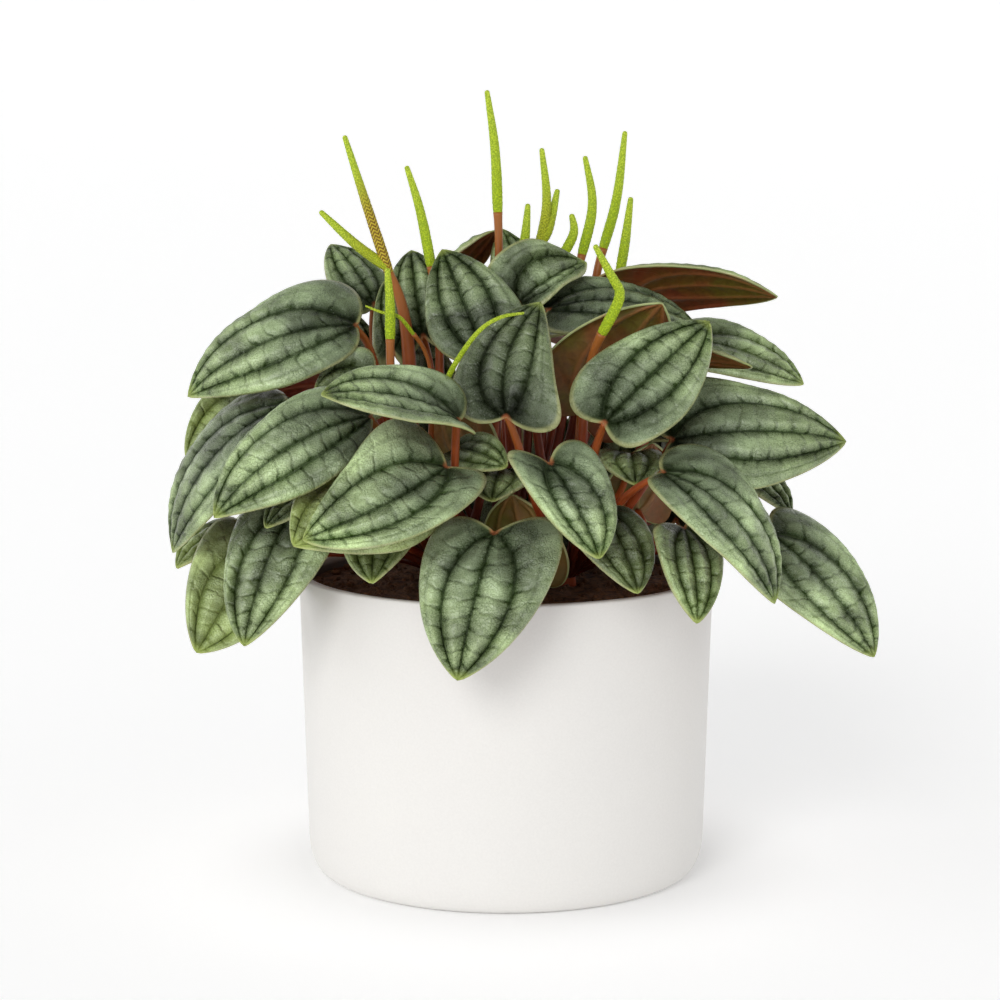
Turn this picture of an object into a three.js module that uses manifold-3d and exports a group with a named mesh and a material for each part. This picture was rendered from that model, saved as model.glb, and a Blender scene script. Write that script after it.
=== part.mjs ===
// A potted peperomia: a bushy rosette plant with ribbed, heart-shaped leaves on red stalks and
// lime-green flower spikes, growing in a plain white cylindrical pot filled with dark soil.
// Millimetres, +Z up, -Y is the front, and the origin is the centre of the pot's foot.
import * as THREE from "three";
import { mergeVertices } from "three/addons/utils/BufferGeometryUtils.js";
import Module from "manifold-3d";

const wasm = await Module();
wasm.setup();

// ---- Driving sizes ----

const pot = {
  height: 110,
  rimRadius: 75,
  bodyRadius: 72.2,
  footRadius: 67,
  footRise: 14,
  wall: 3,
  floor: 5,
  lipRound: 1,
  sides: 44,
};
const soil = { top: 105, dome: 1, crumb: 1.2, rings: 6, sides: 26, seed: 7 };
const seatGap = 0.3;
const blade = {
  thickness: 0.8,
  ribDepth: 1.4,
  // Stations across the blade, from one margin to the other: 0 is the midrib.
  across: [-1, -0.76, -0.5, -0.25, 0, 0.25, 0.5, 0.76, 1],
  // Stations along it, from the stalk to the tip.
  along: [0, 0.1, 0.22, 0.38, 0.58, 0.8, 1],
};
const youngBlade = { across: [-1, -0.5, 0, 0.5, 1], along: [0, 0.2, 0.5, 1] };
const stalk = { tipRadius: 1.3, rootRadius: 2, seat: 0.55, neck: 3.5, sides: 4, steps: 6 };
const stem = { radius: 5.5, top: 115, bottom: 82, sides: 8 };
const spikeShape = { radius: 1.95, tipRadius: 1, grain: 0.14, sides: 6, steps: 8 };
const scape = { radius: 1.4, rootRadius: 2, sides: 4, steps: 5 };

// Where each crown stands in the soil.
const crowns = [
  [-20, -12],
  [21, -9],
  [-1, 22],
];

// A leaf's row holds the crown it grows from, where its stalk joins the blade, where its tip is,
// its width or two half widths, and its roll about the line from base to tip. Then come, in
// degrees, how far its sides curl down past the middle (cup), how far its lobes stand up round the
// stalk (dish) and how far it arches along its length (arch). Last come the size of its two lobes,
// where they are small or uneven, and how far it bends sideways in its own plane (sweep).
const asLeaf = ([crown, base, tip, width, roll, cup, dish, arch, lobes = [1, 1], sweep = 0]) => {
  const halves = Array.isArray(width) ? width : [width / 2, width / 2];
  return { crown, base, tip, halves, roll, cup, dish, arch, lobes, sweep };
};

const leaves = [
  // Left side, from the top down to the rim of the pot.
  [0, [-53, -12, 199], [-112, -22, 175], [25.5, 20], 40, 60, 60, 70, [0.75, 0.3]],
  [0, [-46, -53, 171], [-98, -76, 140], [25, 18], 35, 70, 10, 70, [0.8, 0.1]],
  [0, [-76, -30, 173], [-117, -32, 121], 52, 25, 30, 10, 70, [0.5, 0.6]],
  [0, [-20, -75, 157], [-67, -98, 136], [27, 17], 40, 20, 60, 40, [1.1, 0.75], 45],
  [0, [-32, -54, 150], [-71, -86, 132], 51, 30, 30, 20, 35, [0.6, 0.4]],
  [0, [-43, -46, 134], [-45, -78, 118], 27, -10, 30, 20, 45, [1, 0.5]],
  [0, [-4, -82, 136], [-16, -108, 91], [22.5, 24], 10, 35, 0, 30, [0.75, 1]],
  [0, [-73, -43, 139], [-89, -70, 95], 43, 0, 35, 0, 35],
  [0, [-89, -18, 119], [-108, -46, 88], 38, 45, 30, 20, 30],
  [0, [-98, 7, 125], [-118, -12, 112], 24, 0, 30, 20, 45],
  [0, [-88, 20, 172], [-115, -4, 151], 32, 45, 40, 20, 35],
  [0, [-61, -38, 147], [-82, -60, 134], 26, 0, 40, 20, 35],
  [0, [-16, -69, 172], [-61, -91, 183], 41, 25, -20, 120, 40, [0.8, 0.5]],
  [0, [-48, -24, 180], [-67, -29, 178], 27, 70, 30, 20, 30],
  // The top of the plant.
  [2, [-48, 22, 204], [-65, 40, 225], 26, 10, 40, 20, 30, [0.7, 0.7]],
  [2, [-30, 15, 193], [-35, 36, 223], 27, 20, 30, 25, 45],
  [0, [-41, 9, 188], [-44, 20, 213], 14, 0, 30, 20, 35],
  [0, [-6, -22, 187], [-23, 8, 225], [19, 16], 35, 50, 0, 15, [0.5, 0.2]],
  [1, [0, -60, 172], [12, -32, 209], [21, 19], 8, -20, 40, 15, [1.35, 0.35], 50],
  [1, [33, -60, 170], [70, -40, 203], 37, -50, 0, 90, 15, [0.6, 0.7]],
  [1, [15, -3, 204], [70, 2, 196], 40, -25, 30, 15, 60, [0.6, 1]],
  [1, [26, -15, 168], [54, -35, 209], 45, 42, -20, 20, 20, [0.8, 0.8]],
  [2, [4, 0, 206], [29, 14, 220], [11, 20], -30, -140, 110, 30, [0.4, 0.7]],
  [2, [46, 30, 207], [98, 8, 208], 40, 30, 10, 20, 35],
  // Right side, from the top down to the rim.
  [1, [68, 28, 190], [109, 20, 175], 37, -25, 20, 20, 40],
  [1, [60, -7, 187], [86, -26, 186], 26, 25, -50, 50, 10],
  [1, [57, -42, 162], [118, -38, 161], [26, 28], -40, 25, 50, 35, [0.7, 1]],
  [1, [14, -88, 160], [30, -106, 131], [13.5, 20], -10, 20, 0, 25, [1.2, 1.1]],
  [1, [52, -74, 155], [89, -88, 113], [20, 26], -15, 30, 60, 75, [0.45, 0.8]],
  [1, [60, -66, 135], [63, -92, 107], 25, 15, 0, 10, 40, [0.6, 1]],
  [1, [93, -30, 127], [127, -54, 88], [22.5, 24], -15, 20, 5, 35],
  [1, [32, -70, 141], [43.5, -89, 116.5], [16.5, 14.5], 0, 20, 20, 35, [1, 0.7]],
  [1, [84, 8, 149], [102, -10, 131], 23, 0, 35, 20, 30],
  // The small pair at the very top, then the back of the plant.
  [2, [-20, 37, 212], [-4, 24, 231], 23, 0, 20, 10, 30, [0.7, 0.7]],
  [2, [5, 34, 206], [-2, 38, 231], 24, 20, 40, 20, 35],
  [2, [-46, 50, 170], [-80, 94, 138], 50, 0, 40, 20, 55],
  [2, [0, 66, 170], [2, 116, 134], 48, 0, 40, 20, 55],
  [2, [46, 55, 170], [76, 99, 136], 50, 0, 40, 20, 55],
  [1, [66, 36, 152], [106, 66, 124], 48, 0, 40, 20, 50],
  [0, [-70, 46, 134], [-104, 76, 104], 46, 0, 30, 20, 40],
  [2, [-26, 72, 130], [-40, 106, 92], 46, 0, 30, 20, 40],
  [2, [24, 78, 132], [36, 110, 92], 46, 0, 30, 20, 40],
  [2, [-18, 50, 196], [-42, 98, 182], 50, 0, 40, 20, 55],
  [2, [24, 54, 191], [40, 106, 174], 50, 0, 40, 20, 55],
].map(asLeaf);

// Young leaves low in the middle, still grown together with their crown's stalks.
const youngLeaves = [
  [0, [-18, -44, 159], [0, -62, 155], 22, -30, 30, 10, 40],
  [1, [-2, -46, 152], [-5, -66, 144], 24, 0, 20, 20, 40],
  [1, [43, -40, 157], [44, -62, 149], 23, 0, 20, 20, 40],
  [0, [-14, -24, 150], [-20, -34, 182], 30, 0, -20, 20, 20],
  [1, [46, -24, 134], [51, -32, 160], 32, 0, -20, 20, 20],
  [1, [6, -40, 116], [2, -48, 144], 34, 0, -20, 20, 20],
].map(asLeaf);

// Every flower spike: the crown it grows from, and the line it follows from its stalk up. A lean
// is the direction in which the stalk arrives, where it isn't the spike's own.
const spikes = [
  {
    crown: 0,
    line: [[-42, 3, 217], [-50, 6, 241], [-58, 8, 266]],
    branch: [[-42.6, 3, 219], [-47, 4, 222], [-55, 5, 228], [-67, 8, 239]],
    rootRadius: 3,
    lean: [-11, 0, 22],
  },
  { crown: 0, line: [[-41, -17, 195], [-41, -16, 207], [-42, -14, 220]] },
  { crown: 0, line: [[-27, 10, 219], [-31, 12, 239], [-36, 14, 255]] },
  { crown: 2, line: [[-3, 20, 238], [-4, 21, 261], [-7, 22, 282]] },
  { crown: 2, line: [[5, 22, 217], [7, 23, 229], [8, 24, 241]] },
  {
    crown: 2,
    line: [[11, 28, 220], [15, 28, 240], [13, 30, 261]],
    branch: [[12.2, 28, 226], [15, 28, 230], [17, 30, 237], [19, 32, 246]],
  },
  { crown: 2, line: [[21, 29, 222], [25, 30, 230], [24, 31, 237]] },
  { crown: 2, line: [[28, 32, 222], [32, 34, 240], [29, 36, 258]] },
  { crown: 2, line: [[36, 37, 224], [41, 39, 242], [44, 41, 267]] },
  { crown: 2, line: [[42, 32, 215], [44, 33, 227], [46, 34, 243]] },
  { crown: 1, line: [[33, -40, 199], [39, -44, 212], [36, -46, 219], [30, -48, 230]] },
];

// ---- Small helpers ----

const vec = (p) => new THREE.Vector3(...p);
const rad = THREE.MathUtils.degToRad;

function solidOf(geometry) {
  const bare = new THREE.BufferGeometry().setAttribute("position", geometry.getAttribute("position"));
  if (geometry.index) bare.setIndex(geometry.index);
  const merged = mergeVertices(bare, 1e-3);
  const kept = [];
  const index = merged.index.array;
  for (let i = 0; i < index.length; i += 3) {
    const [a, b, c] = [index[i], index[i + 1], index[i + 2]];
    if (a !== b && b !== c && c !== a) kept.push(a, b, c);
  }
  return new wasm.Manifold(
    new wasm.Mesh({
      numProp: 3,
      vertProperties: new Float32Array(merged.getAttribute("position").array),
      triVerts: new Uint32Array(kept),
    }),
  );
}

function geometryOf(solid) {
  const mesh = solid.getMesh();
  const geometry = new THREE.BufferGeometry();
  geometry.setAttribute("position", new THREE.BufferAttribute(mesh.vertProperties, 3));
  geometry.setIndex(new THREE.BufferAttribute(mesh.triVerts, 1));
  geometry.computeVertexNormals();
  return geometry;
}

// A rod of changing radius along a curve, closed by a flat cap at each end.
function rodAlong(curve, radiusAt, sides, steps) {
  const frames = curve.computeFrenetFrames(steps, false);
  const points = [];
  for (let i = 0; i <= steps; i++) {
    const centre = curve.getPointAt(i / steps);
    for (let j = 0; j < sides; j++) {
      const turn = (2 * Math.PI * j) / sides;
      const r = radiusAt(i / steps, j, i);
      points.push(
        centre
          .clone()
          .addScaledVector(frames.normals[i], r * Math.cos(turn))
          .addScaledVector(frames.binormals[i], r * Math.sin(turn)),
      );
    }
  }
  const index = [];
  for (let i = 0; i < steps; i++) {
    for (let j = 0; j < sides; j++) {
      const a = i * sides + j;
      const b = i * sides + ((j + 1) % sides);
      index.push(a, b, b + sides, a, b + sides, a + sides);
    }
  }
  const first = points.push(curve.getPointAt(0)) - 1;
  const last = points.push(curve.getPointAt(1)) - 1;
  for (let j = 0; j < sides; j++) {
    const next = (j + 1) % sides;
    index.push(first, next, j, last, steps * sides + j, steps * sides + next);
  }
  return new THREE.BufferGeometry().setFromPoints(points).setIndex(index);
}

// ---- Leaves ----

// The leaf's frame: c runs from base to tip, n out of the upper face, s to its side.
function leafFrame(leaf) {
  const base = vec(leaf.base);
  const c = vec(leaf.tip).sub(base);
  const length = c.length();
  c.normalize();
  const up = new THREE.Vector3(0, 0, 1);
  const n = up.addScaledVector(c, -up.dot(c)).normalize();
  n.applyAxisAngle(c, rad(-leaf.roll));
  return { base, c, n, s: n.clone().cross(c), length };
}

// Ribs run from the stalk to the tip: grooves on the veins, at u = 0 and +-0.5, with puffed
// ridges between them. They fade out at both ends.
function ribHeight(u, t) {
  const fade = Math.min(1, t / 0.25) * Math.min(1, (1 - t) / 0.2);
  const puff = 0.5 - 0.5 * Math.cos(4 * Math.PI * u);
  return blade.ribDepth * fade * (puff - (Math.abs(u) > 0.99 ? 0.4 : 0));
}

// The flat outline: each line of constant u is a Bezier arc from the stalk to the tip, and the
// outer ones first run back into the lobes of the heart.
function flatPoint(leaf, length, u, t) {
  const near = 3 * (1 - t) ** 2 * t;
  const far = 3 * (1 - t) * t ** 2;
  const [lobe, half] = u < 0 ? [leaf.lobes[0], leaf.halves[0]] : [leaf.lobes[1], leaf.halves[1]];
  const pinch = 0.3 * Math.max(0, lobe - 1);
  const back = 0.33 - 0.98 * lobe * Math.abs(u) ** 2.4;
  const spread = near * (1.354 - pinch) + far * (1.302 + pinch);
  return [near * back + far * 0.66 + t ** 3, (u * half * spread) / length];
}

// Bends the leaf's axis sideways into an arc, and carries a point beside it along.
function sweepPoint(leaf, length, ahead, aside) {
  const bend = rad(leaf.sweep || 0.1);
  const chord = 2 * Math.sin(bend / 2);
  const heading = bend / 2 - (bend * ahead) / length;
  return [
    (length * (Math.sin(bend / 2) - Math.sin(heading))) / chord - aside * Math.sin(heading),
    (length * (Math.cos(heading) - Math.cos(bend / 2))) / chord + aside * Math.cos(heading),
  ];
}

// A point of the blade in space, h above its middle surface.
function bladePoint(leaf, frame, u, t, h) {
  const { base, c, n, s, length } = frame;
  const [x, y] = flatPoint(leaf, length, u, t);
  const bend = rad(Math.max(leaf.arch, 0.1));
  const chord = 2 * Math.sin(bend / 2);
  const lean = bend / 2 - bend * x;
  const along = (Math.sin(bend / 2) - Math.sin(lean)) / chord;
  const rise = (Math.cos(lean) - Math.cos(bend / 2)) / chord;
  const forward = THREE.MathUtils.clamp((x + 0.2) / 0.7, 0, 1);
  const curlAngle = THREE.MathUtils.lerp(-leaf.dish, leaf.cup, forward);
  const curl = rad(Math.abs(curlAngle) < 0.1 ? 0.1 : curlAngle) / (leaf.halves[0] + leaf.halves[1]);
  const turn = y * length * curl;
  const sideways = Math.sin(turn) / curl;
  const drop = (1 - Math.cos(turn)) / curl;
  const lift = h * Math.cos(turn) - drop;
  const ahead = along * length - lift * Math.sin(lean);
  const [forwardBy, asideBy] = sweepPoint(leaf, length, ahead, sideways + h * Math.sin(turn));
  return base
    .clone()
    .addScaledVector(c, forwardBy)
    .addScaledVector(s, asideBy)
    .addScaledVector(n, rise * length + lift * Math.cos(lean));
}

function bladeGeometry(leaf, { along, across }) {
  const frame = leafFrame(leaf);
  const points = [];
  const index = [];
  const columns = across.length;
  for (const side of [0.5, -0.5]) {
    for (const t of along) {
      for (const u of across) {
        points.push(bladePoint(leaf, frame, u, t, ribHeight(u, t) + side * blade.thickness));
      }
    }
  }
  const under = along.length * columns;
  for (let i = 0; i < along.length - 1; i++) {
    for (let j = 0; j < columns - 1; j++) {
      const a = i * columns + j;
      const [b, d, e] = [a + 1, a + columns, a + columns + 1];
      index.push(a, d, b, b, d, e);
      index.push(under + a, under + b, under + d, under + b, under + e, under + d);
    }
    const left = i * columns;
    const right = left + columns - 1;
    const [nextLeft, nextRight] = [left + columns, right + columns];
    index.push(left, under + left, nextLeft, nextLeft, under + left, under + nextLeft);
    index.push(right, nextRight, under + right, nextRight, under + nextRight, under + right);
  }
  return new THREE.BufferGeometry().setFromPoints(points).setIndex(index);
}

// A stalk's line: out of its crown, and up to a seat that it meets along the given direction.
function stalkLine(crown, seat, arrive, neck) {
  const [cx, cy] = crowns[crown];
  const outward = new THREE.Vector3(seat.x - cx, seat.y - cy, 0);
  const reach = outward.length();
  outward.normalize();
  const root = new THREE.Vector3(cx, cy, stem.top - 5).addScaledVector(outward, 2.5);
  const end = seat.clone().addScaledVector(arrive, -neck);
  const span = end.distanceTo(root);
  const start = new THREE.Vector3(0, 0, 1).addScaledVector(outward, Math.min(1.6, reach / 40)).normalize();
  const bezier = new THREE.CubicBezierCurve3(
    root,
    root.clone().addScaledVector(start, 0.4 * span),
    end.clone().addScaledVector(arrive, -0.25 * span),
    end,
  );
  return new THREE.CatmullRomCurve3([...bezier.getPoints(6), seat]);
}

// A leaf stalk, from the crown to just under the blade, or into it where the two are one.
function leafStalk(leaf, grownTogether) {
  const { base, c, n } = leafFrame(leaf);
  const drop = grownTogether ? 0 : stalk.seat + blade.thickness / 2;
  const seat = base.clone().addScaledVector(n, -drop).addScaledVector(c, 0.8);
  const arrive = n.clone().addScaledVector(c, 0.35).normalize();
  const line = stalkLine(leaf.crown, seat, arrive, stalk.neck);
  const radiusAt = (share) => THREE.MathUtils.lerp(stalk.rootRadius, stalk.tipRadius, share);
  return rodAlong(line, radiusAt, stalk.sides, stalk.steps);
}

// ---- Flower spikes ----

// A spike tapers to a blunt tip, and rows of tiny florets make its surface knobbly.
function spikeRod(line) {
  const curve = new THREE.CatmullRomCurve3(line.map(vec));
  const radiusAt = (share, side, ring) => {
    const taper = THREE.MathUtils.lerp(spikeShape.radius, spikeShape.tipRadius, share ** 2);
    const knob = (side + ring) % 2 ? spikeShape.grain : 0;
    return share === 1 ? 0.45 * taper : taper * (1 - knob);
  };
  return rodAlong(curve, radiusAt, spikeShape.sides, spikeShape.steps);
}

function spikeSolid(spike) {
  const main = solidOf(spikeRod(spike.line));
  return spike.branch ? main.add(solidOf(spikeRod(spike.branch))) : main;
}

function scapeRod(spike) {
  const [foot, next] = spike.line.map(vec);
  const ahead = next.sub(foot).normalize();
  const arrive = spike.lean ? vec(spike.lean).normalize() : ahead;
  const seat = foot.clone().addScaledVector(ahead, -seatGap);
  const line = stalkLine(spike.crown, seat, arrive, 3);
  const root = spike.rootRadius || scape.rootRadius;
  const radiusAt = (share) => THREE.MathUtils.lerp(root, scape.radius, share);
  return rodAlong(line, radiusAt, scape.sides, scape.steps);
}

// ---- Pot and soil ----

// The pot's wall and floor, turned about its axis: a flat foot, a rounded edge, a body that
// widens a little to the rim, and a rounded lip.
function potGeometry() {
  const { height, rimRadius, bodyRadius, footRadius, footRise, wall, floor, lipRound } = pot;
  const outline = [[0, 0], [footRadius, 0]];
  for (const turn of [25, 50, 75]) {
    const [out, up] = [Math.sin(rad(turn)), 1 - Math.cos(rad(turn))];
    outline.push([footRadius + (bodyRadius - footRadius) * out, footRise * up]);
  }
  outline.push([bodyRadius, footRise], [rimRadius, height - lipRound]);
  outline.push([rimRadius - 0.3 * lipRound, height - 0.3 * lipRound], [rimRadius - lipRound, height]);
  outline.push([rimRadius - wall + 0.5 * lipRound, height], [rimRadius - wall, height - 0.6 * lipRound]);
  outline.push([bodyRadius - wall, footRise], [footRadius - 1, floor], [0, floor]);
  const profile = outline.map(([r, z]) => new THREE.Vector2(r, z));
  return new THREE.LatheGeometry(profile, pot.sides).rotateX(Math.PI / 2);
}

// Soil fills the pot to just under the rim. Its top is a low dome of crumbs.
function soilGeometry() {
  let seed = soil.seed;
  const random = () => {
    seed = (seed * 16807) % 2147483647;
    return seed / 2147483647;
  };
  const wallAt = (z) => {
    const share = (z - pot.footRise) / (pot.height - pot.lipRound - pot.footRise);
    return THREE.MathUtils.lerp(pot.bodyRadius, pot.rimRadius, share) - pot.wall - seatGap - 0.2;
  };
  const low = pot.floor + seatGap;
  const points = [new THREE.Vector3(0, 0, soil.top + soil.dome)];
  for (let ring = 1; ring <= soil.rings; ring++) {
    const share = ring / soil.rings;
    for (let j = 0; j < soil.sides; j++) {
      const turn = (2 * Math.PI * (j + 0.5 * (ring % 2))) / soil.sides;
      const r = share * wallAt(soil.top) * (ring < soil.rings ? 1 + 0.06 * (random() - 0.5) : 1);
      const z = soil.top + soil.dome * (1 - share ** 2) + soil.crumb * (random() - 0.5);
      points.push(new THREE.Vector3(r * Math.cos(turn), r * Math.sin(turn), z));
    }
  }
  for (const [r, z] of [[wallAt(pot.footRise), pot.footRise], [pot.footRadius - 2, low]]) {
    for (let j = 0; j < soil.sides; j++) {
      const turn = (2 * Math.PI * (j + 0.5 * (soil.rings % 2))) / soil.sides;
      points.push(new THREE.Vector3(r * Math.cos(turn), r * Math.sin(turn), z));
    }
  }
  points.push(new THREE.Vector3(0, 0, low));
  const index = [];
  const rows = soil.rings + 2;
  const at = (row, j) => 1 + (row - 1) * soil.sides + (j % soil.sides);
  for (let j = 0; j < soil.sides; j++) {
    index.push(0, at(1, j), at(1, j + 1), points.length - 1, at(rows, j + 1), at(rows, j));
  }
  for (let row = 1; row < rows; row++) {
    // Each odd ring is turned by half a step, so the diagonal changes side.
    const lead = row < soil.rings && row % 2 === 0;
    for (let j = 0; j < soil.sides; j++) {
      const [a, b, c, d] = [at(row, j), at(row, j + 1), at(row + 1, j), at(row + 1, j + 1)];
      if (lead) index.push(a, c, b, b, c, d);
      else index.push(a, c, d, a, d, b);
    }
  }
  return new THREE.BufferGeometry().setFromPoints(points).setIndex(index);
}

function soilSolid() {
  let solid = solidOf(soilGeometry());
  const depth = soil.top + 10 - stem.bottom + seatGap;
  for (const [x, y] of crowns) {
    const radius = stem.radius + seatGap;
    const hole = new THREE.CylinderGeometry(radius, radius, depth, stem.sides);
    hole.rotateX(Math.PI / 2).translate(x, y, stem.bottom - seatGap + depth / 2);
    solid = solid.subtract(solidOf(hole));
  }
  return solid;
}

// ---- The plant ----

function stemGeometry([x, y]) {
  const length = stem.top - stem.bottom;
  const geometry = new THREE.CylinderGeometry(0.7 * stem.radius, stem.radius, length, stem.sides);
  return geometry.rotateX(Math.PI / 2).translate(x, y, stem.bottom + length / 2);
}

// One crown: its short stem, the stalks of its leaves and spikes, and its young leaves.
function crownSolid(k) {
  const parts = [solidOf(stemGeometry(crowns[k]))];
  for (const leaf of leaves) {
    if (leaf.crown === k) parts.push(solidOf(leafStalk(leaf, false)));
  }
  for (const spike of spikes) {
    if (spike.crown === k) parts.push(solidOf(scapeRod(spike)));
  }
  for (const leaf of youngLeaves) {
    if (leaf.crown !== k) continue;
    parts.push(solidOf(leafStalk(leaf, true)), solidOf(bladeGeometry(leaf, youngBlade)));
  }
  return wasm.Manifold.union(parts);
}

const leafGreen = new THREE.MeshStandardMaterial({ color: "#5f7f5c", roughness: 0.45, metalness: 0 });
const stalkRed = new THREE.MeshStandardMaterial({ color: "#9c4a32", roughness: 0.5, metalness: 0 });
const spikeLime = new THREE.MeshStandardMaterial({ color: "#94bf2c", roughness: 0.6, metalness: 0 });
const glazeWhite = new THREE.MeshStandardMaterial({ color: "#eeece9", roughness: 0.35, metalness: 0 });
const soilBrown = new THREE.MeshStandardMaterial({ color: "#2c1a12", roughness: 0.95, metalness: 0 });

const plant = new THREE.Group();

function add(name, geometry, material) {
  const mesh = new THREE.Mesh(geometry, material);
  mesh.name = name;
  plant.add(mesh);
}

const numbered = (stemName, i) => stemName + "_" + String(i + 1).padStart(2, "0");

add("pot", geometryOf(solidOf(potGeometry())), glazeWhite);
add("soil", geometryOf(soilSolid()), soilBrown);
crowns.forEach((_, k) => add("crown_" + (k + 1), geometryOf(crownSolid(k)), stalkRed));
leaves.forEach((leaf, i) => {
  add(numbered("leaf", i), geometryOf(solidOf(bladeGeometry(leaf, blade))), leafGreen);
});
spikes.forEach((spike, i) => {
  add(numbered("spike", i), geometryOf(spikeSolid(spike)), spikeLime);
});

export default plant;
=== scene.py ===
import math
import random

import bmesh
import bpy
from mathutils import Matrix, Vector, noise


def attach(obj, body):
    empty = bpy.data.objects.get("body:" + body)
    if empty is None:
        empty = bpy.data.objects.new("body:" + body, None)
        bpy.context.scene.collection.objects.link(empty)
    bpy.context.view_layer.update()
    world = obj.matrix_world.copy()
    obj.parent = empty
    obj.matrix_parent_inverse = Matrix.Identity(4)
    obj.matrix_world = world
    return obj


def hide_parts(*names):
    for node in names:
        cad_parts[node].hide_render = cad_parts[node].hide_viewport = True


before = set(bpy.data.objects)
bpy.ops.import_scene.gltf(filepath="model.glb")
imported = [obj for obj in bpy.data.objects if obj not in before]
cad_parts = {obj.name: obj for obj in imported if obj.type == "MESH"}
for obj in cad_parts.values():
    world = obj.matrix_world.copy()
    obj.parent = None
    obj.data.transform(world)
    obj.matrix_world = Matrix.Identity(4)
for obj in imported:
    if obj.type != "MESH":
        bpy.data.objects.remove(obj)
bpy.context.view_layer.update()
scene = bpy.context.scene
mm = 0.001  # sizes are given in millimetres, and Blender takes metres
print("frame loaded")


# One node with its settings and its links: an input may be a number, a socket or a whole node.
def addNode(tree, kind, inputs, **settings):
    node = tree.nodes.new("ShaderNode" + kind)
    for name, value in settings.items():
        setattr(node, name, value)
    for name, value in inputs.items():
        if isinstance(value, bpy.types.Node):
            value = next(output for output in value.outputs if output.enabled)
        if isinstance(value, bpy.types.NodeSocket):
            tree.links.new(value, node.inputs[name])
        else:
            node.inputs[name].default_value = value
    return node


# Settings that many nodes share. A MapRange takes its value as 0 and then both ends of the old and
# of the new range. A Mix in colour takes its share as 0 and its two colours as 6 and 7.
eased = {"interpolation_type": "SMOOTHSTEP"}
inColour = {"data_type": "RGBA"}


# An sRGB hex colour as the linear colour that shaders take.
def paint(code):
    parts = [int(code[i : i + 2], 16) / 255 for i in (1, 3, 5)]
    return [p / 12.92 if p < 0.04045 else ((p + 0.055) / 1.055) ** 2.4 for p in parts] + [1.0]


# An empty material with its shader. Sockets are named with _ for a space.
def startMaterial(name, **sockets):
    material = bpy.data.materials.new(name)
    material.use_nodes = True
    tree = material.node_tree
    tree.nodes.clear()
    shader = addNode(tree, "BsdfPrincipled", {})
    for socket, value in sockets.items():
        shader.inputs[socket.replace("_", " ")].default_value = value
    addNode(tree, "OutputMaterial", {"Surface": shader})
    return material, tree, shader


# Makes an object of a finished bmesh and hands it over to the root body.
def finishPiece(bm, name, materials, replaced=()):
    mesh = bpy.data.meshes.new(name)
    bm.to_mesh(mesh)
    bm.free()
    for material in materials:
        mesh.materials.append(material)
    mesh.polygons.foreach_set("use_smooth", [True] * len(mesh.polygons))
    piece = bpy.data.objects.new(name, mesh)
    scene.collection.objects.link(piece)
    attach(piece, "root")
    if replaced:
        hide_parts(*replaced)
    return piece


# The camera stands in front of the pot and looks a little down on it, in millimetres and degrees.
view = {"place": (-2.2, -1038.5, 285.0), "pitchDown": 8.21, "lens": 104.4, "sensor": 36.0}
cameraData = bpy.data.cameras.new("studioCamera")
cameraData.lens = view["lens"]
cameraData.sensor_width = view["sensor"]
cameraData.clip_start = 0.05
camera = bpy.data.objects.new("studioCamera", cameraData)
camera.location = Vector(view["place"]) * mm
camera.rotation_euler = (math.radians(90 - view["pitchDown"]), 0, 0)
scene.collection.objects.link(camera)
scene.camera = camera
scene.view_settings.view_transform = "Standard"

# Where the plant's three crowns stand in the soil, in millimetres.
crowns = [(-20, -12), (21, -9), (-1, 22)]
leafWords = ("crown", "base", "tip", "halves", "roll", "cup", "dish", "arch", "lobes", "sweep")


# A row holds the crown that the leaf grows from, where its stalk joins the blade, where its tip
# is, its width or two half widths, and in degrees its roll, cup, dish and arch. Last come the
# sizes of its two lobes, and in degrees its sweep to one side.
def asLeaf(row):
    leaf = dict(zip(leafWords, row))
    if isinstance(leaf["halves"], (int, float)):
        leaf["halves"] = [leaf["halves"] / 2] * 2
    return {"lobes": [1, 1], "sweep": 0, **leaf}


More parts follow.
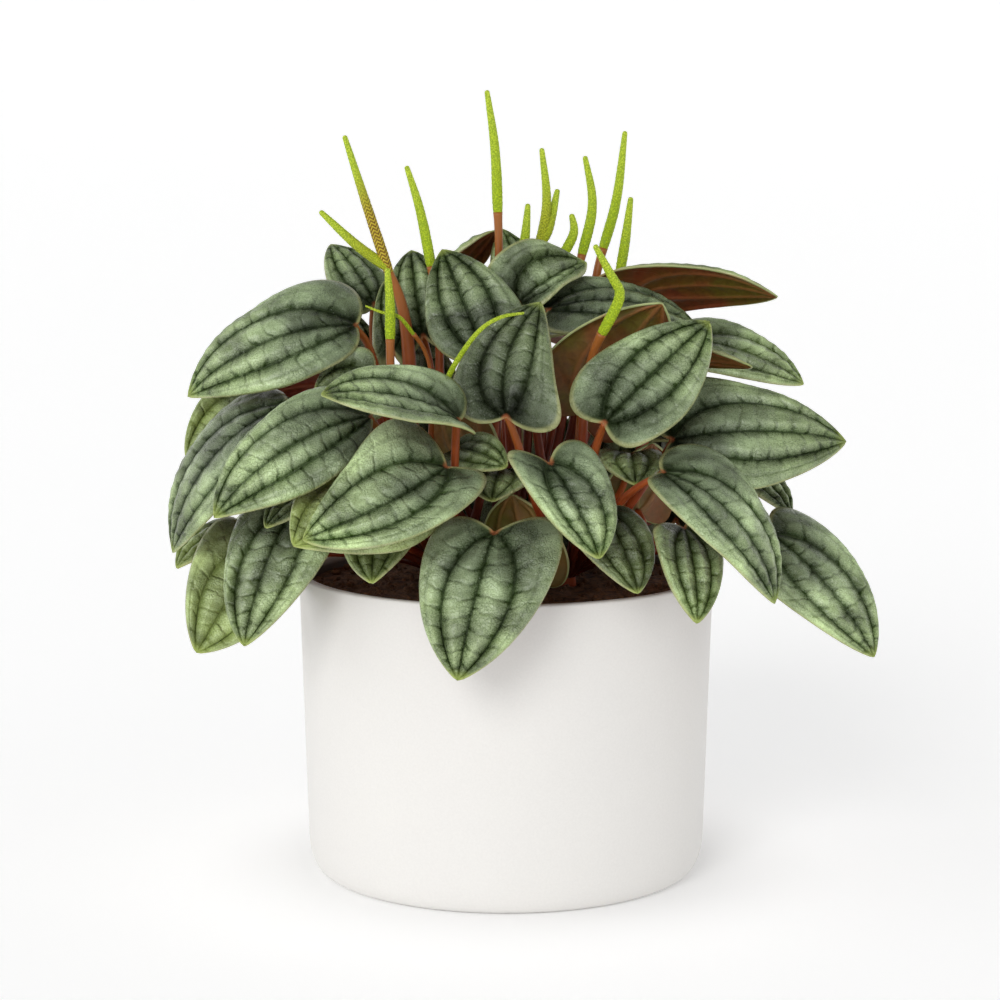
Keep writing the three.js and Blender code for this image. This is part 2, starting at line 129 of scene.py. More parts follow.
leaves = [
    # Left side, from the top down to the rim of the pot.
    [0, [-53, -12, 199], [-112, -22, 175], [25.5, 20], 40, 60, 60, 70, [0.75, 0.3]],
    [0, [-46, -53, 171], [-98, -76, 140], [25, 18], 35, 70, 10, 70, [0.8, 0.1]],
    [0, [-76, -30, 173], [-117, -32, 121], 52, 25, 30, 10, 70, [0.5, 0.6]],
    [0, [-20, -75, 157], [-67, -98, 136], [27, 17], 40, 20, 60, 40, [1.1, 0.75], 45],
    [0, [-32, -54, 150], [-71, -86, 132], 51, 30, 30, 20, 35, [0.6, 0.4]],
    [0, [-43, -46, 134], [-45, -78, 118], 27, -10, 30, 20, 45, [1, 0.5]],
    [0, [-4, -82, 136], [-16, -108, 91], [22.5, 24], 10, 35, 0, 30, [0.75, 1]],
    [0, [-73, -43, 139], [-89, -70, 95], 43, 0, 35, 0, 35],
    [0, [-89, -18, 119], [-108, -46, 88], 38, 45, 30, 20, 30],
    [0, [-98, 7, 125], [-118, -12, 112], 24, 0, 30, 20, 45],
    [0, [-88, 20, 172], [-115, -4, 151], 32, 45, 40, 20, 35],
    [0, [-61, -38, 147], [-82, -60, 134], 26, 0, 40, 20, 35],
    [0, [-16, -69, 172], [-61, -91, 183], 41, 25, -20, 120, 40, [0.8, 0.5]],
    [0, [-48, -24, 180], [-67, -29, 178], 27, 70, 30, 20, 30],
    # The top of the plant.
    [2, [-48, 22, 204], [-65, 40, 225], 26, 10, 40, 20, 30, [0.7, 0.7]],
    [2, [-30, 15, 193], [-35, 36, 223], 27, 20, 30, 25, 45],
    [0, [-41, 9, 188], [-44, 20, 213], 14, 0, 30, 20, 35],
    [0, [-6, -22, 187], [-23, 8, 225], [19, 16], 35, 50, 0, 15, [0.5, 0.2]],
    [1, [0, -60, 172], [12, -32, 209], [21, 19], 8, -20, 40, 15, [1.35, 0.35], 50],
    [1, [33, -60, 170], [70, -40, 203], 37, -50, 0, 90, 15, [0.6, 0.7]],
    [1, [15, -3, 204], [70, 2, 196], 40, -25, 30, 15, 60, [0.6, 1]],
    [1, [26, -15, 168], [54, -35, 209], 45, 42, -20, 20, 20, [0.8, 0.8]],
    [2, [4, 0, 206], [29, 14, 220], [11, 20], -30, -140, 110, 30, [0.4, 0.7]],
    [2, [46, 30, 207], [98, 8, 208], 40, 30, 10, 20, 35],
    # Right side, from the top down to the rim.
    [1, [68, 28, 190], [109, 20, 175], 37, -25, 20, 20, 40],
    [1, [60, -7, 187], [86, -26, 186], 26, 25, -50, 50, 10],
    [1, [57, -42, 162], [118, -38, 161], [26, 28], -40, 25, 50, 35, [0.7, 1]],
    [1, [14, -88, 160], [30, -106, 131], [13.5, 20], -10, 20, 0, 25, [1.2, 1.1]],
    [1, [52, -74, 155], [89, -88, 113], [20, 26], -15, 30, 60, 75, [0.45, 0.8]],
    [1, [60, -66, 135], [63, -92, 107], 25, 15, 0, 10, 40, [0.6, 1]],
    [1, [93, -30, 127], [127, -54, 88], [22.5, 24], -15, 20, 5, 35],
    [1, [32, -70, 141], [43.5, -89, 116.5], [16.5, 14.5], 0, 20, 20, 35, [1, 0.7]],
    [1, [84, 8, 149], [102, -10, 131], 23, 0, 35, 20, 30],
    # The small pair at the very top, then the back of the plant.
    [2, [-20, 37, 212], [-4, 24, 231], 23, 0, 20, 10, 30, [0.7, 0.7]],
    [2, [5, 34, 206], [-2, 38, 231], 24, 20, 40, 20, 35],
    [2, [-46, 50, 170], [-80, 94, 138], 50, 0, 40, 20, 55],
    [2, [0, 66, 170], [2, 116, 134], 48, 0, 40, 20, 55],
    [2, [46, 55, 170], [76, 99, 136], 50, 0, 40, 20, 55],
    [1, [66, 36, 152], [106, 66, 124], 48, 0, 40, 20, 50],
    [0, [-70, 46, 134], [-104, 76, 104], 46, 0, 30, 20, 40],
    [2, [-26, 72, 130], [-40, 106, 92], 46, 0, 30, 20, 40],
    [2, [24, 78, 132], [36, 110, 92], 46, 0, 30, 20, 40],
    [2, [-18, 50, 196], [-42, 98, 182], 50, 0, 40, 20, 55],
    [2, [24, 54, 191], [40, 106, 174], 50, 0, 40, 20, 55],
]
youngLeaves = [
    [0, [-18, -44, 159], [0, -62, 155], 22, -30, 30, 10, 40],
    [1, [-2, -46, 152], [-5, -66, 144], 24, 0, 20, 20, 40],
    [1, [43, -40, 157], [44, -62, 149], 23, 0, 20, 20, 40],
    [0, [-14, -24, 150], [-20, -34, 182], 30, 0, -20, 20, 20],
    [1, [46, -24, 134], [51, -32, 160], 32, 0, -20, 20, 20],
    [1, [6, -40, 116], [2, -48, 144], 34, 0, -20, 20, 20],
]
leaves = [asLeaf(row) for row in leaves]
youngLeaves = [asLeaf(row) for row in youngLeaves]
# Leaves that are lighter, darker or yellower than the rest: brightness and share of yellow green. The
# brightness is partly painted light and shade, darker for leaves that lie in shade.
leafTones = {
    1: (1.0, 0.0), 2: (0.98, 0.0), 3: (0.84, 0.0), 4: (1.3, 0.0), 5: (1.3, 0.75), 6: (0.9, 0.35),
    7: (1.0, 0.0), 8: (1.0, 0.05), 9: (1.3, 0.55), 10: (1.1, 0.5), 11: (1.0, 0.7), 13: (1.05, 0.0),
    18: (0.55, 0.0), 19: (0.42, 0.05), 20: (0.92, 0.0), 21: (0.55, 0.0), 25: (1.0, 0.1), 27: (0.88, 0.0),
    28: (1.0, 0.0), 29: (1.04, 0.0), 30: (1.15, 0.1), 31: (1.15, 0.0), 32: (0.5, 0.25),
}
# Each flower spike from its foot to its tip. A branch forks off low on the main line.
spikes = [
    {
        "crown": 0,
        "line": [[-42, 3, 217], [-50, 6, 241], [-58, 8, 266]],
        "branch": [[-42.6, 3, 219], [-47, 4, 222], [-55, 5, 228], [-67, 8, 239]],
        "rootRadius": 3,
        "lean": [-11, 0, 22],
    },
    {"crown": 0, "line": [[-41, -17, 195], [-41, -16, 207], [-42, -14, 220]]},
    {"crown": 0, "line": [[-27, 10, 219], [-31, 12, 239], [-36, 14, 255]]},
    {"crown": 2, "line": [[-3, 20, 238], [-4, 21, 261], [-7, 22, 282]]},
    {"crown": 2, "line": [[5, 22, 217], [7, 23, 229], [8, 24, 241]]},
    {
        "crown": 2,
        "line": [[11, 28, 220], [15, 28, 240], [13, 30, 261]],
        "branch": [[12.2, 28, 226], [15, 28, 230], [17, 30, 237], [19, 32, 246]],
    },
    {"crown": 2, "line": [[21, 29, 222], [25, 30, 230], [24, 31, 237]]},
    {"crown": 2, "line": [[28, 32, 222], [32, 34, 240], [29, 36, 258]]},
    {"crown": 2, "line": [[36, 37, 224], [41, 39, 242], [44, 41, 267]]},
    {"crown": 2, "line": [[42, 32, 215], [44, 33, 227], [46, 34, 243]]},
    {"crown": 1, "line": [[33, -40, 199], [39, -44, 212], [36, -46, 219], [30, -48, 230]]},
]
dice = random.Random(19)

# The sheet of a leaf. Lengths are in millimetres, and shares are of the length or the half width.
blade = {
    "thickness": 0.8,
    "handles": (0.33, 0.66),  # how far along the blade the outline's two handles are
    "handleWidths": (1.354, 1.302),  # and how far out
    "lobeBack": 0.98,  # how far the lobes reach back past the stalk
    "lobeRound": 2.4,
    "pinch": 0.3,  # a large lobe narrows the blade behind its middle
    "ribDepth": 1.4,
    "ribStart": 0.25,  # the ribs rise over the first quarter and sink over the last fifth
    "ribEnd": 0.2,
    "ribRound": 0.75,
    "marginFrom": 0.93,
    "marginDrop": 0.4,
    "outerVein": 0.8,  # the faint pair of veins near the margins
    "outerSpread": 0.035,
    "outerDepth": 0.18,
    "quilting": 0.4,
    "crossSpacing": 6.0,
    "crossSlant": 0.6,
    "wave": 0.5,
    "columns": 52,
    "rows": 56,
}


# A leaf's own axes: its base, along it, up from its face, to its side, and its length.
def leafFrame(leaf):
    base = Vector(leaf["base"])
    along = Vector(leaf["tip"]) - base
    length = along.length
    along.normalize()
    up = Vector((0, 0, 1))
    face = (up - along * up.dot(along)).normalized()
    face.rotate(Matrix.Rotation(math.radians(-leaf["roll"]), 3, along))
    return base, along, face, face.cross(along), length


def clamp(value, low=0.0, high=1.0):
    return max(low, min(high, value))


# Grooves run on the veins, at u = 0 and +-0.5, and the blade is puffed up between them.
def ribHeight(leaf, u, t, acrossMm, alongMm):
    fade = min(1, t / blade["ribStart"]) * min(1, (1 - t) / blade["ribEnd"])
    puff = abs(math.sin(2 * math.pi * u)) ** blade["ribRound"] if abs(u) < 0.99 else 0
    margin = blade["marginDrop"] * clamp((abs(u) - blade["marginFrom"]) / (1 - blade["marginFrom"]))
    outer = math.exp(-(((abs(u) - blade["outerVein"]) / blade["outerSpread"]) ** 2))
    forward = (alongMm - blade["crossSlant"] * acrossMm) / blade["crossSpacing"]
    swing = math.sin(math.pi * forward + leaf["phase"])
    quilt = blade["quilting"] * puff * (swing**2 - 0.5)
    return fade * (blade["ribDepth"] * (puff - margin) - blade["outerDepth"] * outer + quilt)


# A point of the blade: u runs from margin to margin, -1 to 1, and t from the stalk to the tip.
def bladePoint(leaf, axes, u, t):
    base, along, face, side, length = axes
    half, lobe = leaf["halves"][0 if u < 0 else 1], leaf["lobes"][0 if u < 0 else 1]
    near, far = 3 * (1 - t) ** 2 * t, 3 * (1 - t) * t**2
    nearAlong, farAlong = blade["handles"]
    nearWide, farWide = blade["handleWidths"]
    pinch = blade["pinch"] * max(0, lobe - 1)
    back = blade["lobeBack"] * lobe * abs(u) ** blade["lobeRound"]
    x = near * (nearAlong - back) + far * farAlong + t**3
    y = u * half * (near * (nearWide - pinch) + far * (farWide + pinch))
    height = ribHeight(leaf, u, t, abs(y), x * length)
    ripple = math.sin(11 * t + 2.1 * leaf["phase"] + (2 if u > 0 else 0))
    height += blade["wave"] * u**4 * ripple * min(1, 4 * t * (1 - t))
    # The midrib is an arc, and it starts and ends on the line from base to tip.
    bend = math.radians(max(leaf["arch"], 0.1))
    chord = 2 * math.sin(bend / 2)
    lean = bend / 2 - bend * x
    runs = (math.sin(bend / 2) - math.sin(lean)) / chord
    rise = (math.cos(lean) - math.cos(bend / 2)) / chord
    # The sides bend down by the cup towards the tip, and up by the dish round the stalk.
    forward = clamp((x + 0.2) / 0.7)
    curlAngle = leaf["cup"] * forward - leaf["dish"] * (1 - forward)
    curl = math.radians(curlAngle if abs(curlAngle) > 0.1 else 0.1) / sum(leaf["halves"])
    turn = y * curl
    lift = height * math.cos(turn) - (1 - math.cos(turn)) / curl
    ahead = runs * length - lift * math.sin(lean)
    aside = math.sin(turn) / curl + height * math.sin(turn)
    # The whole blade bends a little to one side as well.
    sweep = math.radians(leaf["sweep"] or 0.1)
    heading = sweep / 2 - sweep * ahead / length
    scale = length / (2 * math.sin(sweep / 2))
    ahead = scale * (math.sin(sweep / 2) - math.sin(heading)) - aside * math.sin(heading)
    bulge = scale * (math.cos(heading) - math.cos(sweep / 2))
    place = base + along * ahead + side * (bulge + aside * math.cos(heading))
    return place + face * (rise * length + lift * math.cos(lean))


# A blade is a grid that follows the veins. Its first map holds the place on the blade, from
# margin to margin and from stalk to tip, and its second one the same place in millimetres.
def growBlade(leaf, name, replaced, detail=1.0):
    columns, rows = 2 * round(blade["columns"] * detail / 2), round(blade["rows"] * detail)
    axes = leafFrame(leaf)
    length = axes[-1]
    nearWide, farWide = blade["handleWidths"]
    bm = bmesh.new()
    place = bm.loops.layers.uv.new("blade")
    size = bm.loops.layers.uv.new("size")
    tone = bm.verts.layers.float_color.new("tone")
    grid = bmesh.ops.create_grid(bm, x_segments=columns, y_segments=rows, size=1.0)
    for face in bm.faces:
        for loop in face.loops:
            u, t = -loop.vert.co.x, (loop.vert.co.y + 1) / 2
            spread = 3 * (1 - t) * t * (nearWide * (1 - t) + farWide * t)
            loop[place].uv = (u, t)
            loop[size].uv = (leaf["halves"][0 if u < 0 else 1] * spread, length * t)
    for vert in grid["verts"]:
        u, t = -vert.co.x, (vert.co.y + 1) / 2
        vert[tone] = (*leaf["tone"], 1.0)
        vert.co = bladePoint(leaf, axes, u, t) * mm
    bmesh.ops.remove_doubles(bm, verts=bm.verts, dist=1e-6)
    piece = finishPiece(bm, name, leafLayers, replaced)
    wall = piece.modifiers.new("thickness", "SOLIDIFY")
    wall.thickness = blade["thickness"] * mm
    wall.offset = 0
    wall.material_offset = 1
    wall.material_offset_rim = 2


# A smooth curve through the given points.
def smoothLine(points, steps):
    points = [Vector(p) for p in points]
    ends = [2 * points[0] - points[1], *points, 2 * points[-1] - points[-2]]
    line = []
    for i in range(len(points) - 1):
        a, b, c, d = ends[i : i + 4]
        for k in range(steps):
            s = k / steps
            square, cube = 2 * a - 5 * b + 4 * c - d, 3 * b - a - 3 * c + d
            line.append(0.5 * (2 * b + (c - a) * s + square * s**2 + cube * s**3))
    line.append(points[-1])
    return line


# The same line with its points an even step apart, and its length.
def evenLine(line, step):
    reach = [0.0]
    for a, b in zip(line, line[1:]):
        reach.append(reach[-1] + (b - a).length)
    count = max(2, round(reach[-1] / step))
    even, k = [], 0
    for i in range(count + 1):
        want = reach[-1] * i / count
        while k < len(line) - 2 and reach[k + 1] < want:
            k += 1
        share = (want - reach[k]) / max(1e-9, reach[k + 1] - reach[k])
        even.append(line[k].lerp(line[k + 1], clamp(share)))
    return even, reach[-1]


# A tube is a grid that is rolled round a line. Its map holds the way round and the share along.
def rollTube(bm, line, sides, radiusAt, toneOf):
    grow = bm.loops.layers.uv.get("grow") or bm.loops.layers.uv.new("grow")
    tone = bm.verts.layers.float_color.get("tone") or bm.verts.layers.float_color.new("tone")
    rows = len(line) + 1  # one more ring at each end closes the tube
    normals, last = [], None
    for i in range(len(line)):
        ahead = (line[min(i + 1, len(line) - 1)] - line[max(i - 1, 0)]).normalized()
        if last is None:
            last = ahead.orthogonal().normalized()
        last = (last - ahead * last.dot(ahead)).normalized()
        normals.append((ahead, last, ahead.cross(last)))
    start = len(bm.faces)
    grid = bmesh.ops.create_grid(bm, x_segments=sides, y_segments=rows, size=1.0)
    bm.faces.ensure_lookup_table()
    for face in bm.faces[start:]:
        for loop in face.loops:
            ring = clamp((loop.vert.co.y + 1) / 2 * rows - 1, 0, len(line) - 1)
            loop[grow].uv = ((loop.vert.co.x + 1) / 2, ring / (len(line) - 1))
    for vert in grid["verts"]:
        ring = round((vert.co.y + 1) / 2 * rows) - 1
        side = round((vert.co.x + 1) / 2 * sides) % sides
        i = min(max(ring, 0), len(line) - 1)
        closed = ring < 0 or ring > len(line) - 1
        angle = 2 * math.pi * side / sides
        radius = 0 if closed else radiusAt(i / (len(line) - 1), angle)
        ahead, out, over = normals[i]
        vert[tone] = (*toneOf, 1.0)
        vert.co = (line[i] + out * (radius * math.cos(angle)) + over * (radius * math.sin(angle))) * mm


# Upper skin of a leaf: waxy and finely frosted. It is silvery where the blade puffs up, partly its own colour
# and partly a painted sheen, and dark green in the grooves, partly its own colour and partly painted shade.
leafUpper = {
    "silverSheen": "#a2b48c",
    "silverSheenTip": "#a4b87c",
    "green": "#2f4318",
    "groove": "#111c04",
    "vein": "#6f8259",
    "band": "#7f955c",
    "margin": "#b0b27a",
    "tip": "#a4b55a",
    "spot": "#9c5636",
    "young": "#96a55a",
    "glint": "#d3dccb",
    "grooveMm": 1.1,
    "panelMm": 5.6,  # a panel is full silver, partly painted sheen, this far from its vein
    "featherMm": 1.3,
    "threadMm": 0.75,
    "mottleMm": 6.0,
    "shadeMm": 14.0,
    "crackleMm": 1.5,
    "frostMm": 0.45,
    "glintMm": 2.3,
    "wanderMm": 8.0,
}


# Both sides of a leaf share these: the distances to the veins and the margin in millimetres, the
# place along the blade, its tone and a slow noise that bends the lines.
def veinNodes(tree):
    place = addNode(tree, "SeparateXYZ", {0: addNode(tree, "UVMap", {}, uv_map="blade")})
    size = addNode(tree, "SeparateXYZ", {0: addNode(tree, "UVMap", {}, uv_map="size")})
    tone = addNode(tree, "Attribute", {}, attribute_name="tone").outputs["Color"]
    tone = addNode(tree, "SeparateColor", {0: tone})
    point = addNode(tree, "TexCoord", {}).outputs["Object"]
    share = addNode(tree, "Math", {0: place}, operation="ABSOLUTE")
    toMidrib = addNode(tree, "Math", {0: share, 1: size}, operation="MULTIPLY")
    besideLateral = addNode(tree, "Math", {0: share, 1: 0.5}, operation="SUBTRACT")
    besideLateral = addNode(tree, "Math", {0: besideLateral}, operation="ABSOLUTE")
    toLateral = addNode(tree, "Math", {0: besideLateral, 1: size}, operation="MULTIPLY")
    besideOuter = addNode(tree, "Math", {0: share, 1: blade["outerVein"]}, operation="SUBTRACT")
    besideOuter = addNode(tree, "Math", {0: besideOuter}, operation="ABSOLUTE")
    toOuter = addNode(tree, "Math", {0: besideOuter, 1: size}, operation="MULTIPLY")
    inside = addNode(tree, "Math", {0: 1.0, 1: share}, operation="SUBTRACT")
    toMargin = addNode(tree, "Math", {0: inside, 1: size}, operation="MULTIPLY")
    toMain = addNode(tree, "Math", {0: toMidrib, 1: toLateral}, operation="MINIMUM")
    coarse = {"Vector": point, "Scale": 1 / (leafUpper["wanderMm"] * mm), "Detail": 2.0}
    wander = addNode(tree, "TexNoise", coarse)
    # Cross veins leave the main ones a little forward, like the rungs of a ladder. The two sides
    # and the outer panels have theirs at other places.
    rung = addNode(tree, "Math", {0: toMidrib, 1: -0.35, 2: size.outputs[1]}, operation="MULTIPLY_ADD")
    rungs = {0: rung, 1: 1 / blade["crossSpacing"], 2: tone.outputs[2]}
    rung = addNode(tree, "Math", rungs, operation="MULTIPLY_ADD")
    right = addNode(tree, "Math", {0: place, 1: 0.0}, operation="GREATER_THAN")
    rung = addNode(tree, "Math", {0: right, 1: 0.37, 2: rung}, operation="MULTIPLY_ADD")
    outside = addNode(tree, "Math", {0: share, 1: 0.5}, operation="GREATER_THAN")
    rung = addNode(tree, "Math", {0: outside, 1: 0.5, 2: rung}, operation="MULTIPLY_ADD")
    rung = addNode(tree, "Math", {0: wander, 1: 1.1, 2: rung}, operation="MULTIPLY_ADD")
    toRung = addNode(tree, "Math", {0: rung, 1: 0.5}, operation="PINGPONG")
    toRung = addNode(tree, "Math", {0: toRung, 1: blade["crossSpacing"]}, operation="MULTIPLY")
    return {
        "along": place.outputs[1],
        "alongMm": size.outputs[1],
        "tone": tone,
        "point": point,
        "toMain": toMain,
        "toOuter": toOuter,
        "toMargin": toMargin,
        "toRung": toRung,
        "wander": wander,
    }


# Where the upper skin is grooved, feathered, cracked and silver with painted sheen, each as a share from 0 to
# 1.
def skinPattern(tree, veins):
    look = leafUpper
    point, wander, toMain = veins["point"], veins["wander"], veins["toMain"]
    toOuter, toRung = veins["toOuter"], veins["toRung"]
    slim = addNode(tree, "MapRange", {0: veins["along"], 1: 0.0, 2: 1.0, 3: 1.2, 4: 0.6})
    grooveAt = addNode(tree, "Math", {0: toMain, 1: slim}, operation="DIVIDE")
    groove = addNode(tree, "MapRange", {0: grooveAt, 1: 0.1, 2: look["grooveMm"], 3: 1.0, 4: 0.0}, **eased)
    outer = addNode(tree, "MapRange", {0: toOuter, 1: 0.0, 2: 1.1, 3: 1.0, 4: 0.0}, **eased)
    mottle = {"Vector": point, "Scale": 1 / (look["mottleMm"] * mm), "Detail": 4.0, "Roughness": 0.62}
    patch = addNode(tree, "TexNoise", mottle)
    patch = addNode(tree, "MapRange", {0: patch, 1: 0.34, 2: 0.66, 3: 0.0, 4: 1.0}, **eased)
    grains = {"Vector": point, "Scale": 1 / (look["frostMm"] * mm), "Detail": 4.0, "Roughness": 0.65}
    frost = addNode(tree, "TexNoise", grains)
    # Dark feathers leave the veins sideways and fade before they reach the middle of a panel.
    feather = addNode(tree, "MapRange", {0: toRung, 1: 0.0, 2: look["featherMm"], 3: 1.0, 4: 0.0}, **eased)
    strong = addNode(tree, "MapRange", {0: patch, 1: 0.0, 2: 1.0, 3: 1.0, 4: 0.25})
    feather = addNode(tree, "Math", {0: feather, 1: strong}, operation="MULTIPLY")
    reach = addNode(tree, "Math", {0: feather, 1: -1.2, 2: toMain}, operation="MULTIPLY_ADD")
    reach = addNode(tree, "Math", {0: wander, 1: 3.0, 2: reach}, operation="MULTIPLY_ADD")
    reach = addNode(tree, "Math", {0: frost, 1: reach}, operation="ADD")
    puff = addNode(tree, "MapRange", {0: reach, 1: 1.1, 2: look["panelMm"], 3: 0.0, 4: 1.0}, **eased)
    beside = addNode(tree, "MapRange", {0: toOuter, 1: 0.2, 2: 1.4, 3: 0.86, 4: 1.0}, **eased)
    silverSheen = addNode(tree, "Math", {0: puff, 1: beside}, operation="MULTIPLY")
    dull = addNode(tree, "MapRange", {0: patch, 1: 0.0, 2: 1.0, 3: 0.72, 4: 1.0})
    silverSheen = addNode(tree, "Math", {0: silverSheen, 1: dull}, operation="MULTIPLY")
    # Fine crackle between the veins.
    cells = {"Vector": point, "Scale": 1 / (look["crackleMm"] * mm)}
    crack = addNode(tree, "TexVoronoi", cells, feature="DISTANCE_TO_EDGE")
    crack = addNode(tree, "MapRange", {0: crack, 1: 0.0, 2: 0.16, 3: 1.0, 4: 0.0}, **eased)
    thin = addNode(tree, "MapRange", {0: wander, 1: 0.35, 2: 0.6, 3: 0.0, 4: 0.32})
    crack = addNode(tree, "Math", {0: crack, 1: thin}, operation="MULTIPLY")
    silverSheen = addNode(tree, "Math", {0: crack, 1: -0.5, 2: silverSheen}, operation="MULTIPLY_ADD")
    frosted = addNode(tree, "MapRange", {0: frost, 1: 0.3, 2: 0.7, 3: -0.12, 4: 0.12})
    silverSheen = addNode(tree, "Math", {0: silverSheen, 1: frosted}, operation="ADD", use_clamp=True)
    # Thin dark cross veins, strongest where they leave the main ones.
    thread = addNode(tree, "MapRange", {0: toRung, 1: 0.1, 2: look["threadMm"], 3: 1.0, 4: 0.0}, **eased)
    fade = addNode(tree, "MapRange", {0: toMain, 1: 1.0, 2: 6.5, 3: 0.3, 4: 0.05})
    thread = addNode(tree, "Math", {0: thread, 1: fade}, operation="MULTIPLY")
    # The pale line in the middle of a groove.
    core = addNode(tree, "MapRange", {0: grooveAt, 1: 0.1, 2: 0.36, 3: 0.5, 4: 0.0}, **eased)
    return {
        "groove": groove,
        "core": core,
        "outer": outer,
        "patch": patch,
        "frost": frost,
        "feather": feather,
        "silverSheen": silverSheen,
        "crack": crack,
        "thread": thread,
    }


# The colour of the upper skin, from its dark green with painted shade up to its silver with painted sheen,
# the pale rim, tip and painted glints.
def skinColour(tree, veins, skin, deep):
    look = leafUpper
    along, tone = veins["along"], veins["tone"]
    # Silver on the puffed panels is the skin's own pale colour together with a painted sheen.
    far = addNode(tree, "MapRange", {0: along, 1: 0.3, 2: 0.95, 3: 0.0, 4: 1.0})
    pale = addNode(tree, "Mix", {0: far, 6: paint(look["silverSheen"]), 7: paint(look["silverSheenTip"])}, **inColour)
    colour = addNode(tree, "Mix", {0: skin["silverSheen"], 6: paint(look["green"]), 7: pale}, **inColour)
    # The grooves are darkened by the veins' own dark green and by painted shade in the creases.
    dark = addNode(tree, "Math", {0: skin["groove"], 1: 0.5}, operation="MULTIPLY")
    colour = addNode(tree, "Mix", {0: dark, 6: colour, 7: paint(look["groove"])}, **inColour)
    colour = addNode(tree, "Mix", {0: skin["thread"], 6: colour, 7: paint(look["groove"])}, **inColour)
    core = addNode(tree, "Math", {0: skin["core"], 1: tone.outputs[2]}, operation="MULTIPLY")
    colour = addNode(tree, "Mix", {0: core, 6: colour, 7: paint(look["vein"])}, **inColour)
    dark = addNode(tree, "Math", {0: skin["outer"], 1: 0.12}, operation="MULTIPLY")
    colour = addNode(tree, "Mix", {0: dark, 6: colour, 7: paint(look["groove"])}, **inColour)
    band = addNode(tree, "MapRange", {0: veins["toMargin"], 1: 0.3, 2: 1.6, 3: 0.4, 4: 0.0}, **eased)
    colour = addNode(tree, "Mix", {0: band, 6: colour, 7: paint(look["band"])}, **inColour)
    young = addNode(tree, "Math", {0: tone.outputs[1], 1: 0.75}, operation="MULTIPLY")
    colour = addNode(tree, "Mix", {0: young, 6: colour, 7: paint(look["young"])}, **inColour)
    # Frost, the leaf's own brightness (partly painted light and shade), painted shade round the stalk and
    # broad soft patches of painted shade and light all change its brightness.
    light = addNode(tree, "MapRange", {0: skin["frost"], 1: 0.3, 2: 0.7, 3: 0.88, 4: 1.12})
    light = addNode(tree, "Math", {0: light, 1: tone}, operation="MULTIPLY")
    light = addNode(tree, "Math", {0: light, 1: deep}, operation="MULTIPLY")
    broad = {"Vector": veins["point"], "Scale": 1 / (look["shadeMm"] * mm), "Detail": 1.0}
    cloud = addNode(tree, "TexNoise", broad)
    cloud = addNode(tree, "MapRange", {0: cloud, 1: 0.32, 2: 0.68, 3: 0.5, 4: 1.32})
    light = addNode(tree, "Math", {0: light, 1: cloud}, operation="MULTIPLY")
    colour = addNode(tree, "Mix", {0: 1.0, 6: colour, 7: light}, blend_type="MULTIPLY", **inColour)
    edge = addNode(tree, "MapRange", {0: veins["toMargin"], 1: 0.15, 2: 0.8, 3: 0.7, 4: 0.0}, **eased)
    colour = addNode(tree, "Mix", {0: edge, 6: colour, 7: paint(look["margin"])}, **inColour)
    tip = addNode(tree, "MapRange", {0: along, 1: 0.92, 2: 1.0, 3: 0.0, 4: 0.7}, **eased)
    colour = addNode(tree, "Mix", {0: tip, 6: colour, 7: paint(look["tip"])}, **inColour)
    # A rusty spot marks the place where the stalk joins.
    spot = addNode(tree, "MapRange", {0: veins["alongMm"], 1: 0.5, 2: 1.9, 3: 0.8, 4: 0.0}, **eased)
    colour = addNode(tree, "Mix", {0: spot, 6: colour, 7: paint(look["spot"])}, **inColour)
    # Tiny pale specks, painted glints on the wax and marks of dried water.
    cell = addNode(tree, "TexVoronoi", {"Vector": veins["point"], "Scale": 1 / (look["glintMm"] * mm)})
    glint = addNode(tree, "MapRange", {0: cell, 1: 0.04, 2: 0.1, 3: 0.45, 4: 0.0})
    glint = addNode(tree, "Math", {0: glint, 1: skin["patch"]}, operation="MULTIPLY")
    return addNode(tree, "Mix", {0: glint, 6: colour, 7: paint(look["glint"])}, **inColour)


# How far the upper skin stands up, in millimetres. It sinks in a wide valley along each vein and
# dips again at the feathers, threads and cracks.
def skinRelief(tree, veins, skin):
    height = addNode(tree, "MapRange", {0: veins["toMain"], 1: 0.0, 2: 4.8, 3: -1.3, 4: 0.0}, **eased)
    parts = [
        (skin["groove"], -0.25),
        (skin["feather"], -0.32),
        (skin["thread"], -0.5),
        (skin["outer"], -0.15),
        (veins["wander"], 2.2),
        (skin["crack"], -0.45),
        (skin["frost"], 0.13),
    ]
    for part, depth in parts:
        height = addNode(tree, "Math", {0: part, 1: depth, 2: height}, operation="MULTIPLY_ADD")
    return addNode(tree, "Bump", {"Height": height, "Distance": mm, "Strength": 1.0})


